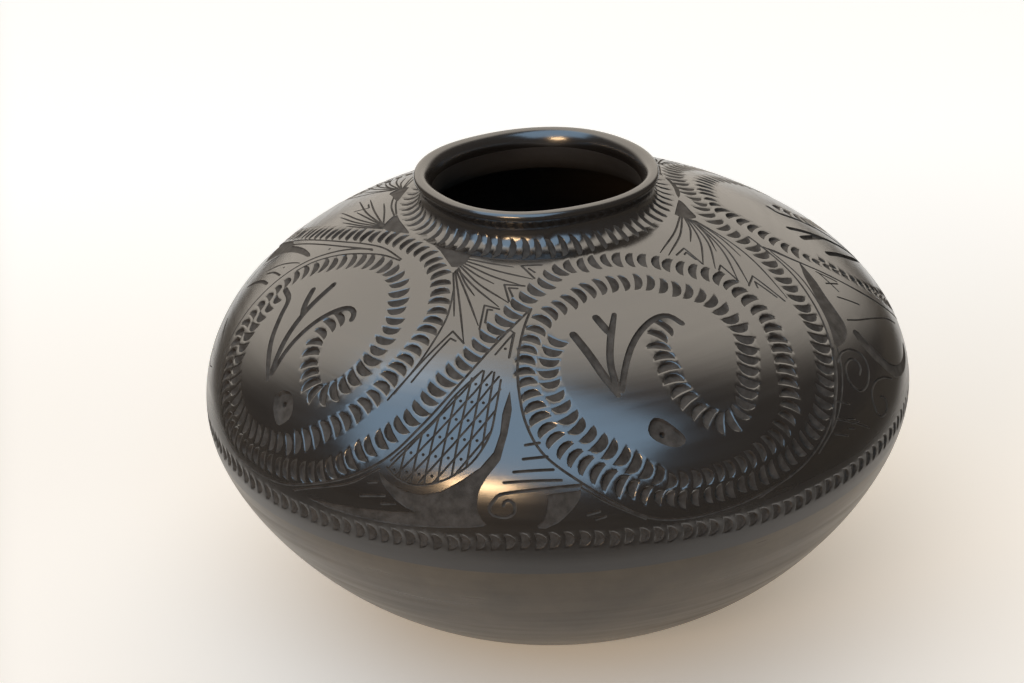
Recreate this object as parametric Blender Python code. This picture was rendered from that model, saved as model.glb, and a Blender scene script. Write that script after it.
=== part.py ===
"""Hand-built clay pot: a wide round jar with a flat foot, a short neck and a rolled lip.

The potter's own members are separate solids: the bowl pressed in a mould, two wall coils,
the neck coil and the lip coil. Each joins the next in a bevelled lap, as wet clay is joined.
The wall coils carry the carved bands of four medallions and the belt under them.
Metres, +Z up, origin at the centre of the foot on the surface that the pot stands on.
+Y points away from the viewer, +X to the viewer's right.
"""

import math

import bmesh
import bpy
import numpy as np
from mathutils import Matrix, Vector

# Driving dimensions of the outside
FOOT_RADIUS = 0.0473
BELLY_RADIUS = 0.1400
BELLY_HEIGHT = 0.0824
COLLAR_RADIUS = 0.0540
COLLAR_HEIGHT = 0.1598
COVE_RISE = 0.0074
WAIST_RADIUS = 0.0443
FLARE_RISE = 0.0048
LIP_RADIUS = 0.0440

# Thickness of the clay
FLOOR_THICKNESS = 0.0075
WALL_THICKNESS = 0.0056
NECK_THICKNESS = 0.0044

# How full each quarter of the outline is: 2 is a true ellipse
BOWL_OUT_RATIO = 1.79
BOWL_DOWN_RATIO = 1.42
SHOULDER_OUT_RATIO = 1.18
SHOULDER_UP_RATIO = 2.24

# Where one member ends and the next begins, and the bevelled lap between them
BOWL_JOINT_DROP = 0.0060
BELLY_COIL_WIDTH = 0.0640
JOINT_LAP = 0.0060
JOINT_GAP = 0.0003

# What the hand left: the upper body leans, and the mouth is neither round nor level
UPPER_LEAN = -0.0046
MOUTH_OVAL = 0.0003
MOUTH_SQUARENESS = 0.0013
MOUTH_SQUARE_TURN = math.radians(-12.6)
LIP_WAVE_HEIGHT = 0.0006
LIP_WAVES = 3
LIP_WAVE_TURN = math.radians(23.0)

# Carving: bands that wind in and out round four medallions, and a belt all round the pot
CARVING_WIDTH = 0.0062
CARVING_FLOOR_WIDTH = 0.0036
CARVING_DEPTH = 0.0012
CARVING_CLEARANCE = 0.0008
BELT_RISE = 0.0060

# Direction and width share of each medallion, from the left of the viewer round to the back
MEDALLIONS = ((-55.0, 0.88), (22.5, 1.0), (104.0, 0.88), (204.0, 1.12))

# A band curls out of its own medallion, as degrees from the medallion's middle and share of the
# way from the belly to the collar
BAND_OUT = (
    (5.0, 0.652), (1.0, 0.560), (1.5, 0.411), (7.0, 0.322), (15.5, 0.443), (20.5, 0.604),
    (16.0, 0.753), (-2.5, 0.854), (-21.5, 0.761), (-27.3, 0.576), (-24.2, 0.395), (-15.5, 0.238),
    (-1.5, 0.135), (14.5, 0.165), (27.5, 0.290), (37.5, 0.479), (47.8, 0.709),
)

# Then it climbs to the next medallion and winds in round that one
BAND_IN = (
    (-18.5, 0.923), (-2.0, 0.956), (15.0, 0.903), (26.5, 0.774), (28.7, 0.673), (26.2, 0.492),
    (18.5, 0.294), (6.0, 0.201), (-8.5, 0.234), (-18.3, 0.383), (-22.5, 0.552), (-21.5, 0.610),
)

# Fineness of the model
SIDES = 60
BODY_STEP = 0.0180
NECK_STEP = 0.0060
TURN_STEP = math.radians(21.0)
CURVE_SAMPLES = 400
CARVING_STEP = 0.0255
CARVING_TURN_STEP = math.radians(28.0)
BAND_SAMPLES = 12
SHORTEST_EDGE = 0.00005

# Colours and finish of the fired clay
POLISHED_CLAY = (0.018, 0.016, 0.015, 1.0)
SATIN_CLAY = (0.026, 0.023, 0.020, 1.0)
POLISHED_ROUGHNESS = 0.24
SATIN_ROUGHNESS = 0.42
CLAY_METALLIC = 0.0


def clear_scene():
    """Take every object out of the scene."""
    for item in list(bpy.data.objects):
        bpy.data.objects.remove(item, do_unlink=True)


def clay(name, colour, roughness):
    """Make a Principled material for one kind of clay surface."""
    material = bpy.data.materials.new(name)
    material.use_nodes = True
    shader = material.node_tree.nodes["Principled BSDF"]
    shader.inputs["Base Color"].default_value = colour
    shader.inputs["Roughness"].default_value = roughness
    shader.inputs["Metallic"].default_value = CLAY_METALLIC
    material.diffuse_color = colour
    return material


def quarter_turn():
    """Angles of a quarter turn, fine enough to measure lengths along a curve."""
    return np.linspace(0.0, 0.5 * math.pi, CURVE_SAMPLES)


def full_curve(start, end, out_ratio, up_ratio, rising):
    """Quarter of a superellipse from start to end, as rows of radius and height.

    A bowl (rising False) leaves its start level and arrives upright at its end. A shoulder
    (rising True) leaves its start upright and arrives level.
    """
    turn = quarter_turn()
    sine = np.sin(turn)
    cosine = np.clip(np.cos(turn), 0.0, 1.0)
    if rising:
        radius = end[0] + (start[0] - end[0]) * cosine ** (2.0 / out_ratio)
        height = start[1] + (end[1] - start[1]) * sine ** (2.0 / up_ratio)
    else:
        radius = start[0] + (end[0] - start[0]) * sine ** (2.0 / out_ratio)
        height = end[1] + (start[1] - end[1]) * cosine ** (2.0 / up_ratio)
    return np.column_stack([radius, height])


def cove(level_end, upright_end):
    """Hollow quarter ellipse that leaves level_end level and reaches upright_end upright."""
    turn = quarter_turn()
    radius = level_end[0] + (upright_end[0] - level_end[0]) * np.sin(turn)
    height = upright_end[1] + (level_end[1] - upright_end[1]) * np.cos(turn)
    return np.column_stack([radius, height])


def swell(start, end):
    """Smooth step from start to end that is upright at both of its ends."""
    share = np.linspace(0.0, 1.0, CURVE_SAMPLES)
    ease = 0.5 - 0.5 * np.cos(math.pi * share)
    radius = start[0] + (end[0] - start[0]) * ease
    height = start[1] + (end[1] - start[1]) * share
    return np.column_stack([radius, height])


def roll(centre, radius):
    """Half round over the top of the lip, from its outer side to its inner side."""
    turn = np.linspace(0.0, math.pi, CURVE_SAMPLES)
    return np.column_stack([centre[0] + radius * np.cos(turn), centre[1] + radius * np.sin(turn)])


def join_curves(curves):
    """Put curves end to end without repeating the points where they meet."""
    rows = [curves[0]]
    rows.extend(curve[1:] for curve in curves[1:])
    return np.vstack(rows)


def lengths(curve):
    """Length along the curve at each of its points."""
    steps = np.hypot(np.diff(curve[:, 0]), np.diff(curve[:, 1]))
    return np.concatenate([[0.0], np.cumsum(steps)])


def point_at(curve, place):
    """Radius and height at a length along the curve."""
    run = lengths(curve)
    return np.array([np.interp(place, run, curve[:, 0]), np.interp(place, run, curve[:, 1])])


def stretch(curve, first, last, step, kept=()):
    """Points of the curve between two lengths along it, closer together where it bends.

    Each span holds the same share of effort: its length counted in steps, plus its bend
    counted in turn steps. The kept lengths are always among the points.
    """
    run = lengths(curve)
    heading = np.unwrap(np.arctan2(np.diff(curve[:, 1]), np.diff(curve[:, 0])))
    bend = np.concatenate([[0.0], np.cumsum(np.abs(np.diff(heading)))])
    bend = np.append(bend, bend[-1])
    effort = run / step + bend / TURN_STEP
    inside = [place for place in kept if min(first, last) < place < max(first, last)]
    stops = np.interp([first] + sorted(inside, reverse=last < first) + [last], run, effort)
    places = [np.array([first])]
    for start, end in zip(stops, stops[1:]):
        spans = max(1, int(round(abs(end - start))))
        places.append(np.interp(np.linspace(start, end, spans + 1)[1:], effort, run))
    places = np.concatenate(places)
    return np.column_stack([np.interp(places, run, curve[:, 0]), np.interp(places, run, curve[:, 1])])


def nearest_length(curve, point):
    """Length along the curve of its point nearest to the given one."""
    reach = np.hypot(curve[:, 0] - point[0], curve[:, 1] - point[1])
    return lengths(curve)[int(np.argmin(reach))]


class Outline:
    """Outer and inner outline of the pot, and the places where its members are joined."""

    def __init__(self):
        lip_roll = 0.5 * NECK_THICKNESS
        waist_height = COLLAR_HEIGHT + COVE_RISE
        lip_height = waist_height + FLARE_RISE
        foot = (FOOT_RADIUS, 0.0)
        belly = (BELLY_RADIUS, BELLY_HEIGHT)
        collar = (COLLAR_RADIUS, COLLAR_HEIGHT)
        waist = (WAIST_RADIUS, waist_height)
        lip_outside = (LIP_RADIUS + lip_roll, lip_height)
        lip_inside = (LIP_RADIUS - lip_roll, lip_height)
        bowl = full_curve(foot, belly, BOWL_OUT_RATIO, BOWL_DOWN_RATIO, rising=False)
        shoulder = full_curve(belly, collar, SHOULDER_OUT_RATIO, SHOULDER_UP_RATIO, rising=True)
        neck = cove(collar, waist)
        flare = swell(waist, lip_outside)
        top = roll((LIP_RADIUS, lip_height), lip_roll)
        self.outer = join_curves([bowl, shoulder, neck, flare, top[: CURVE_SAMPLES // 2]])

        inner_waist = (WAIST_RADIUS - NECK_THICKNESS, waist_height)
        inner_collar = (COLLAR_RADIUS - NECK_THICKNESS, COLLAR_HEIGHT - WALL_THICKNESS)
        inner_belly = (BELLY_RADIUS - WALL_THICKNESS, BELLY_HEIGHT)
        floor_edge = (FOOT_RADIUS - 0.5 * WALL_THICKNESS, FLOOR_THICKNESS)
        inner_bowl = full_curve(floor_edge, inner_belly, BOWL_OUT_RATIO, BOWL_DOWN_RATIO, rising=False)
        inner_shoulder = full_curve(
            inner_belly, inner_collar, SHOULDER_OUT_RATIO, SHOULDER_UP_RATIO, rising=True
        )
        inner_neck = cove(inner_collar, inner_waist)
        inner_flare = swell(inner_waist, lip_inside)
        inner_top = top[::-1][: CURVE_SAMPLES // 2]
        self.inner = join_curves([inner_bowl, inner_shoulder, inner_neck, inner_flare, inner_top])

        belly_run, collar_run, waist_run = np.cumsum([lengths(part)[-1] for part in (bowl, shoulder, neck)])
        self.outer_marks = [belly_run, collar_run, waist_run]
        self.inner_marks = list(np.cumsum([lengths(part)[-1] for part in (inner_bowl, inner_shoulder, inner_neck)]))
        self.joints = [belly_run - BOWL_JOINT_DROP, belly_run + BELLY_COIL_WIDTH, collar_run, waist_run]

    def lap(self, joint):
        """How far the joint at this outer length climbs on the inside: less in the thin neck."""
        if joint > self.joints[1]:
            return JOINT_LAP * NECK_THICKNESS / WALL_THICKNESS
        return JOINT_LAP

    def joint_ends(self, joint, side):
        """Outer and inner length of a joint face below (side -1) or above (side 1) the gap."""
        outer_place = joint
        inner_place = nearest_length(self.inner, point_at(self.outer, joint)) + self.lap(joint)
        across = point_at(self.inner, inner_place) - point_at(self.outer, outer_place)
        upright = point_at(self.inner, inner_place - self.lap(joint)) - point_at(self.outer, outer_place)
        slant = np.linalg.norm(across) / np.linalg.norm(upright)
        shift = 0.5 * side * JOINT_GAP * slant
        return outer_place + shift, inner_place + shift


def outward(curve, place):
    """Outward direction at a length along the outer curve, as radius and height."""
    ahead = point_at(curve, place + 0.5 * CARVING_WIDTH) - point_at(curve, place - 0.5 * CARVING_WIDTH)
    return np.array([ahead[1], -ahead[0]]) / np.linalg.norm(ahead)


def carve_belt(outline, side):
    """Put the flat-floored groove of the belt into the outer side of the belly coil."""
    middle = outline.outer_marks[0] + BELT_RISE
    floor = CARVING_DEPTH * outward(outline.outer, middle)
    edges = [point_at(outline.outer, middle + half * CARVING_WIDTH) for half in (-0.5, 0.5)]
    floors = [point_at(outline.outer, middle + half * CARVING_FLOOR_WIDTH) - floor for half in (-0.5, 0.5)]
    below = side[side[:, 1] < edges[0][1]]
    above = side[side[:, 1] > edges[1][1]]
    return np.vstack([below, edges[0], floors[0], floors[1], edges[1], above])


def member_section(outline, number):
    """Section of one member: outer side going up, then inner side coming down."""
    joints = outline.joints
    step = BODY_STEP if number < 3 else NECK_STEP
    first = (0.0, 0.0) if number == 0 else outline.joint_ends(joints[number - 1], 1)
    if number < len(joints):
        last = outline.joint_ends(joints[number], -1)
    else:
        last = (lengths(outline.outer)[-1], lengths(outline.inner)[-1])
    outer_side = stretch(outline.outer, first[0], last[0], step, outline.outer_marks)
    if number == 1:
        outer_side = carve_belt(outline, outer_side)
    inner_side = stretch(outline.inner, last[1], first[1], step, outline.inner_marks)
    if number == len(joints):
        inner_side = inner_side[1:]
    return np.vstack([outer_side, inner_side])


def smooth_path(points):
    """Rounded curve through the points, each stretch a cubic that leaves along its neighbours."""
    padded = np.vstack([2.0 * points[0] - points[1], points, 2.0 * points[-1] - points[-2]])
    share = np.linspace(0.0, 1.0, BAND_SAMPLES, endpoint=False)[:, None]
    rows = []
    for before, start, end, after in zip(padded, padded[1:], padded[2:], padded[3:]):
        leave = 0.5 * (end - before)
        arrive = 0.5 * (after - start)
        square, cube = share**2, share**3
        rows.append(
            start * (2.0 * cube - 3.0 * square + 1.0)
            + leave * (cube - 2.0 * square + share)
            + end * (3.0 * square - 2.0 * cube)
            + arrive * (cube - square)
        )
    rows.append(points[-1:])
    return np.vstack(rows)


def band_path(number):
    """Directions and shares of the band that starts in one medallion and ends in the next."""
    middle, share = MEDALLIONS[number]
    following = (number + 1) % len(MEDALLIONS)
    next_middle, next_share = MEDALLIONS[following]
    if following == 0:
        next_middle += 360.0
    leaving = np.array(BAND_OUT) * (share, 1.0) + (middle, 0.0)
    arriving = np.array(BAND_IN) * (next_share, 1.0) + (next_middle, 0.0)
    return smooth_path(np.vstack([leaving, arriving]))


def band_frames(outline, path):
    """Points of a band on the wall, closer together where it bends, and the directions there.

    The directions are the outward one and the one sideways across the band.
    """
    belly_run, collar_run = outline.outer_marks[:2]
    run = belly_run + path[:, 1] * (collar_run - belly_run)
    turn = np.radians(path[:, 0] - 90.0)
    section = np.array([point_at(outline.outer, place) for place in run])
    facing = np.array([outward(outline.outer, place) for place in run])
    around = np.column_stack([np.cos(turn), np.sin(turn)])
    points = np.column_stack([around * section[:, :1], section[:, 1]])
    normals = np.column_stack([around * facing[:, :1], facing[:, 1]])
    moves = np.diff(points, axis=0)
    spans = np.linalg.norm(moves, axis=1)
    ahead = moves / spans[:, None]
    bends = np.arccos(np.clip(np.sum(ahead[1:] * ahead[:-1], axis=1), -1.0, 1.0))
    efforts = spans / CARVING_STEP
    efforts[1:] += bends / CARVING_TURN_STEP
    effort = np.concatenate([[0.0], np.cumsum(efforts)])
    stops = np.linspace(0.0, effort[-1], int(round(effort[-1])) + 1)
    points = np.column_stack([np.interp(stops, effort, points[:, axis]) for axis in range(3)])
    normals = np.column_stack([np.interp(stops, effort, normals[:, axis]) for axis in range(3)])
    sideways = np.cross(normals, np.gradient(points, axis=0))
    return points, normals, sideways / np.linalg.norm(sideways, axis=1)[:, None]


def sweep_band(mesh, outline, number):
    """Add to the mesh the solid that is taken out of the wall along one band.

    Its section is a trapezium: the floor lies a carving depth under the wall, and the sides
    lean outwards at the slope that gives the band its width where they leave the clay.
    """
    points, normals, sideways = band_frames(outline, band_path(number))
    floor = 0.5 * CARVING_FLOOR_WIDTH
    slope = (0.5 * CARVING_WIDTH - floor) / CARVING_DEPTH
    top = floor + slope * (CARVING_DEPTH + CARVING_CLEARANCE)
    low, high = -CARVING_DEPTH, CARVING_CLEARANCE
    corners = ((-floor, low), (floor, low), (top, high), (-top, high))
    rings = []
    for point, normal, side in zip(points, normals, sideways):
        rings.append([mesh.verts.new(point + across * side + rise * normal) for across, rise in corners])
    for ring, following in zip(rings, rings[1:]):
        for corner in range(len(corners)):
            after = (corner + 1) % len(corners)
            mesh.faces.new((ring[corner], ring[after], following[after], following[corner]))
    mesh.faces.new(rings[0])
    mesh.faces.new(rings[-1])


def band_cutter(outline):
    """Make the solids of all the bands as one object."""
    mesh = bmesh.new()
    for number in range(len(MEDALLIONS)):
        sweep_band(mesh, outline, number)
    bmesh.ops.recalc_face_normals(mesh, faces=mesh.faces)
    return solid_object("bands", mesh)


def solid_object(name, mesh):
    """Put a mesh into the scene as an object."""
    data = bpy.data.meshes.new(name)
    mesh.to_mesh(data)
    mesh.free()
    solid = bpy.data.objects.new(name, data)
    solid.matrix_world = Matrix.Identity(4)
    bpy.context.scene.collection.objects.link(solid)
    return solid


def carve(member, cutter):
    """Take the bands out of a member and leave it as plain triangles.

    Corners that lie closer than the shortest edge are merged, unless that would open the solid.
    """
    cut = member.modifiers.new("carving", "BOOLEAN")
    cut.operation = "DIFFERENCE"
    cut.solver = "EXACT"
    cut.use_self = True
    cut.object = cutter
    carved = bpy.data.meshes.new_from_object(member.evaluated_get(bpy.context.evaluated_depsgraph_get()))
    member.modifiers.clear()
    mesh = bmesh.new()
    mesh.from_mesh(carved)
    bpy.data.meshes.remove(carved)
    bmesh.ops.triangulate(mesh, faces=mesh.faces)
    merged = mesh.copy()
    bmesh.ops.remove_doubles(merged, verts=merged.verts, dist=SHORTEST_EDGE)
    if all(edge.is_manifold for edge in merged.edges):
        mesh, merged = merged, mesh
    merged.free()
    mesh.to_mesh(member.data)
    mesh.free()


def hand_shape(coordinates):
    """Lean the upper body and give the mouth its hand-made outline.

    The lean grows with the square of the height above the belly and stays the same above the
    collar. The mouth's waves grow smoothly from the collar to the lip, so the clay keeps its
    thickness.
    """
    height = coordinates[:, 2]
    turn = np.arctan2(coordinates[:, 1], coordinates[:, 0])
    radius = np.hypot(coordinates[:, 0], coordinates[:, 1])
    climb = np.clip((height - BELLY_HEIGHT) / (COLLAR_HEIGHT - BELLY_HEIGHT), 0.0, 1.0)
    reach = np.clip((height - COLLAR_HEIGHT) / (COVE_RISE + FLARE_RISE), 0.0, 1.0)
    ease = reach * reach * (3.0 - 2.0 * reach)
    oval = MOUTH_OVAL * np.cos(2.0 * turn)
    square = MOUTH_SQUARENESS * np.cos(4.0 * (turn - MOUTH_SQUARE_TURN))
    wave = LIP_WAVE_HEIGHT * np.cos(LIP_WAVES * (turn - LIP_WAVE_TURN))
    radius = radius + ease * (oval + square)
    shaped = np.empty_like(coordinates)
    shaped[:, 0] = radius * np.cos(turn) + UPPER_LEAN * climb**2
    shaped[:, 1] = radius * np.sin(turn)
    shaped[:, 2] = height + ease * wave
    return shaped


def turn_section(section, closed):
    """Turn a section about the upright axis and return the mesh.

    An open section ends in two level rings, which a flat foot and a flat floor close.
    """
    mesh = bmesh.new()
    verts = [mesh.verts.new((radius, 0.0, height)) for radius, height in section]
    edges = [mesh.edges.new(pair) for pair in zip(verts, verts[1:])]
    if closed:
        edges.append(mesh.edges.new((verts[-1], verts[0])))
    bmesh.ops.spin(
        mesh,
        geom=verts + edges,
        cent=Vector((0.0, 0.0, 0.0)),
        axis=Vector((0.0, 0.0, 1.0)),
        dvec=Vector((0.0, 0.0, 0.0)),
        angle=2.0 * math.pi,
        steps=SIDES,
        use_merge=True,
    )
    if not closed:
        bmesh.ops.holes_fill(mesh, edges=[edge for edge in mesh.edges if edge.is_boundary], sides=0)
    bmesh.ops.recalc_face_normals(mesh, faces=mesh.faces)
    return mesh


def add_member(name, section, closed, cutter, material):
    """Make one clay member as an object of its own."""
    member = solid_object(name, turn_section(section, closed))
    if cutter:
        carve(member, cutter)
    data = member.data
    coordinates = np.empty(3 * len(data.vertices))
    data.vertices.foreach_get("co", coordinates)
    data.vertices.foreach_set("co", hand_shape(coordinates.reshape(-1, 3)).ravel())
    data.materials.append(material)
    data.shade_smooth()
    data.set_sharp_from_angle(angle=math.radians(35.0))


def main():
    """Build the pot from its foot to its lip."""
    clear_scene()
    satin = clay("satin_clay", SATIN_CLAY, SATIN_ROUGHNESS)
    polished = clay("polished_clay", POLISHED_CLAY, POLISHED_ROUGHNESS)
    outline = Outline()
    bands = band_cutter(outline)
    members = [
        ("moulded_bowl", None, satin),
        ("belly_coil", bands, polished),
        ("shoulder_coil", bands, polished),
        ("neck_coil", None, polished),
        ("lip_coil", None, polished),
    ]
    for number, (name, cutter, material) in enumerate(members):
        add_member(name, member_section(outline, number), number > 0, cutter, material)
    bpy.data.objects.remove(bands, do_unlink=True)


main()
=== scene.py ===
"""Visual model of a hand-built, burnished and carved black clay pot.

The pot is made of five clay members, as in the CAD part: the bowl, the belly coil, the
shoulder coil, the neck coil and the lip coil. The three in the middle carry the carving. Their
outer skin is a constrained triangulation of the design, worked out in a flat plan of the pot
and then lifted onto its outline, so every gouge, groove and scraped field has real edges,
walls and floors.

Lengths are in millimetres and angles in degrees until the meshes are made. A place on the
outside is an azimuth (0 faces the viewer of the photograph, positive to the right) and a rise
"up", the length along the wall from the widest line, positive towards the mouth.
"""

import logging
import math
from dataclasses import dataclass, field
from enum import Enum
from typing import ClassVar

import bpy
import numpy as np
from mathutils import Matrix, Vector, geometry

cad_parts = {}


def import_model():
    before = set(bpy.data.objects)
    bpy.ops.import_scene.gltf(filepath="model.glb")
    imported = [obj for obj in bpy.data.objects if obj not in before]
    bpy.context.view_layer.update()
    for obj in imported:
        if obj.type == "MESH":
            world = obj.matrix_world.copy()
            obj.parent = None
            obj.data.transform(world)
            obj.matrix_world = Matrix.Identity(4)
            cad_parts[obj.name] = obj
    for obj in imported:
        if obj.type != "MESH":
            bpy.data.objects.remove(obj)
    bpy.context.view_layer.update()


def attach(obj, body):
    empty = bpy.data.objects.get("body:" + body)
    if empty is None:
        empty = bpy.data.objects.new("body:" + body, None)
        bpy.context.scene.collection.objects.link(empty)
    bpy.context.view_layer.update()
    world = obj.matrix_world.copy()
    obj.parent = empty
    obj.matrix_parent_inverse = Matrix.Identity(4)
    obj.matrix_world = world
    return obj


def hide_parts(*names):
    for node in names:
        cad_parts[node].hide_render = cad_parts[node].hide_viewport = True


log = logging.getLogger("clay_pot")

MM = 0.001

Array = np.ndarray
Pair = tuple[float, float]
Places = list[Pair]
Colour = tuple[float, float, float]
Paint = tuple[float, float, float, float]
Socket = bpy.types.NodeSocket


@dataclass(frozen=True)
class PotSizes:
    """Driving sizes of the pot in millimetres, the same as in the CAD part."""

    foot_radius: float = 47.3
    belly_radius: float = 140.0
    belly_height: float = 82.4
    collar_radius: float = 54.0
    collar_height: float = 159.8
    cove_rise: float = 7.4
    waist_radius: float = 44.3
    flare_rise: float = 4.8
    lip_radius: float = 44.0
    floor: float = 7.5
    wall: float = 5.6
    neck: float = 4.4
    bowl_out_ratio: float = 1.79
    bowl_down_ratio: float = 1.42
    shoulder_out_ratio: float = 1.18
    shoulder_up_ratio: float = 2.24
    belly_smoothing: float = 5.0
    belly_smoothing_reach: float = 16.0


@dataclass(frozen=True)
class HandSizes:
    """What the potter's hand left: lean, mouth out of round, and a soft unevenness."""

    upper_lean: float = -4.6
    mouth_oval: float = 0.3
    mouth_squareness: float = 1.3
    mouth_square_turn: float = -12.6
    lip_wave: float = 0.58
    lip_waves: int = 3
    lip_wave_turn: float = 23.0
    dent: float = 0.16


@dataclass(frozen=True)
class Joints:
    """Rise of the joints between the members."""

    bowl: float = -6.0
    belly: float = 64.0
    shoulder: float = 124.1
    neck: float = 137.6


SIZES = PotSizes()
HAND = HandSizes()
JOINTS = Joints()
RING_SIDES = 300
CURVE_SAMPLES = 3000
ROUND = 2.0
FINE_STEP = 0.25
PLAN_SPAN = (-40.0, 144.0)
TINY = 1e-12
SMALL = 1e-9
HAIR = 1e-6


def even_turns() -> Array:
    """Azimuths of the points of a plain ring."""
    return (np.arange(RING_SIDES) + 0.5) * 360.0 / RING_SIDES - 180.0


def quarter_turn() -> Array:
    """Angles of a quarter turn in radians, fine enough to measure lengths."""
    return np.linspace(0.0, 0.5 * math.pi, CURVE_SAMPLES)


def full_curve(start: Pair, end: Pair, rising: bool, out: float = ROUND, up: float = ROUND) -> Array:
    """Quarter of a superellipse, or of an ellipse when out and up are 2.

    radius share = sin(turn)^(2 / out), height share = 1 - cos(turn)^(2 / up) for a bowl or a
    cove, and with sine and cosine exchanged for a shoulder or a funnel.

    Args:
        start: radius and height of the lower end.
        end: radius and height of the upper end.
        rising: True for a shoulder or a funnel, which leaves its start upright.
        out: fullness outwards.
        up: fullness upwards.

    Returns:
        Rows of radius and height.
    """
    turn = quarter_turn()
    sine = np.sin(turn)
    cosine = np.clip(np.cos(turn), 0.0, 1.0)
    if rising:
        radius = end[0] + (start[0] - end[0]) * cosine ** (2.0 / out)
        height = start[1] + (end[1] - start[1]) * sine ** (2.0 / up)
    else:
        radius = start[0] + (end[0] - start[0]) * sine ** (2.0 / out)
        height = end[1] + (start[1] - end[1]) * cosine ** (2.0 / up)
    return np.column_stack([radius, height])


def swell(start: Pair, end: Pair) -> Array:
    """Smooth step, upright at both ends: radius share = (1 - cos(half turn * height share)) / 2.

    Args:
        start: radius and height of the lower end.
        end: radius and height of the upper end.

    Returns:
        Rows of radius and height.
    """
    share = np.linspace(0.0, 1.0, CURVE_SAMPLES)
    ease = 0.5 - 0.5 * np.cos(math.pi * share)
    return np.column_stack([start[0] + (end[0] - start[0]) * ease, start[1] + (end[1] - start[1]) * share])


def roll(centre: Pair, radius: float) -> Array:
    """Half round over the lip, from its outer side to its inner side."""
    turn = np.linspace(0.0, math.pi, CURVE_SAMPLES)
    return np.column_stack([centre[0] + radius * np.cos(turn), centre[1] + radius * np.sin(turn)])


def run_of(curve: Array) -> Array:
    """Length along a curve at each of its points."""
    return np.concatenate([[0.0], np.cumsum(np.hypot(*np.diff(curve, axis=0).T))])


def smooth(value: Array | float) -> Array | float:
    """Smooth step of a share clipped to 0..1: 3 share^2 - 2 share^3."""
    share = np.clip(value, 0.0, 1.0)
    return share * share * (3.0 - 2.0 * share)


class Wall:
    """One side of the clay: a curve of radius and height read by its rise."""

    def __init__(self, parts: list[Array], belly_part: int) -> None:
        """Join the parts end to end.

        Args:
            parts: curves from the foot to the lip.
            belly_part: the number of parts below the widest line, where the rise is 0.
        """
        rows = np.vstack([parts[0]] + [part[1:] for part in parts[1:]])
        self.marks = np.cumsum([0.0] + [run_of(part)[-1] for part in parts])
        run = run_of(rows)
        self.marks -= self.marks[belly_part]
        self.up = run - run[-1] + self.marks[-1]
        self.rows = rows
        self._soften()

    def _soften(self) -> None:
        """Round off the sudden bend at the widest line with a bell-shaped average."""
        even = np.arange(self.up[0], self.up[-1], FINE_STEP)
        dense = np.column_stack([np.interp(even, self.up, self.rows[:, k]) for k in range(2)])
        reach = int(3.0 * SIZES.belly_smoothing / FINE_STEP)
        bell = np.exp(-0.5 * (np.arange(-reach, reach + 1) * FINE_STEP / SIZES.belly_smoothing) ** 2)
        bell /= bell.sum()
        padded = np.pad(dense, ((reach, reach), (0, 0)), mode="edge")
        average = np.column_stack([np.convolve(padded[:, k], bell, mode="valid") for k in range(2)])
        share = np.exp(-((even / SIZES.belly_smoothing_reach) ** 2))[:, None]
        change = (average - dense) * share
        self.rows = self.rows + np.column_stack([np.interp(self.up, even, change[:, k]) for k in range(2)])

    def radius(self, up: Array | float) -> Array | float:
        """Radius at a rise."""
        return np.interp(up, self.up, self.rows[:, 0])

    def height(self, up: Array | float) -> Array | float:
        """Height at a rise."""
        return np.interp(up, self.up, self.rows[:, 1])


def outer_wall(sizes: PotSizes) -> Wall:
    """Outside of the pot from the foot to the top of the lip.

    Args:
        sizes: sizes of the pot.

    Returns:
        Bowl, shoulder, cove, flare and the outer half of the roll.
    """
    foot = (sizes.foot_radius, 0.0)
    belly = (sizes.belly_radius, sizes.belly_height)
    collar = (sizes.collar_radius, sizes.collar_height)
    waist = (sizes.waist_radius, sizes.collar_height + sizes.cove_rise)
    lip_height = waist[1] + sizes.flare_rise
    half = 0.5 * sizes.neck
    top = roll((sizes.lip_radius, lip_height), half)
    parts = [
        full_curve(foot, belly, False, sizes.bowl_out_ratio, sizes.bowl_down_ratio),
        full_curve(belly, collar, True, sizes.shoulder_out_ratio, sizes.shoulder_up_ratio),
        full_curve(collar, waist, False),
        swell(waist, (sizes.lip_radius + half, lip_height)),
        top[: CURVE_SAMPLES // 2],
    ]
    return Wall(parts, 1)


def inner_wall(sizes: PotSizes) -> Wall:
    """Inside of the pot from the edge of the floor to the top of the lip.

    Args:
        sizes: sizes of the pot.

    Returns:
        Bowl, shoulder, cove and funnel.
    """
    waist = (sizes.waist_radius - sizes.neck, sizes.collar_height + sizes.cove_rise)
    collar = (sizes.collar_radius - sizes.neck, sizes.collar_height - sizes.wall)
    belly = (sizes.belly_radius - sizes.wall, sizes.belly_height)
    edge = (sizes.foot_radius - 0.5 * sizes.wall, sizes.floor)
    top = (sizes.lip_radius, waist[1] + sizes.flare_rise + 0.5 * sizes.neck)
    parts = [
        full_curve(edge, belly, False, sizes.bowl_out_ratio, sizes.bowl_down_ratio),
        full_curve(belly, collar, True, sizes.shoulder_out_ratio, sizes.shoulder_up_ratio),
        full_curve(collar, waist, False),
        full_curve(waist, top, True),
    ]
    return Wall(parts, 1)


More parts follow.
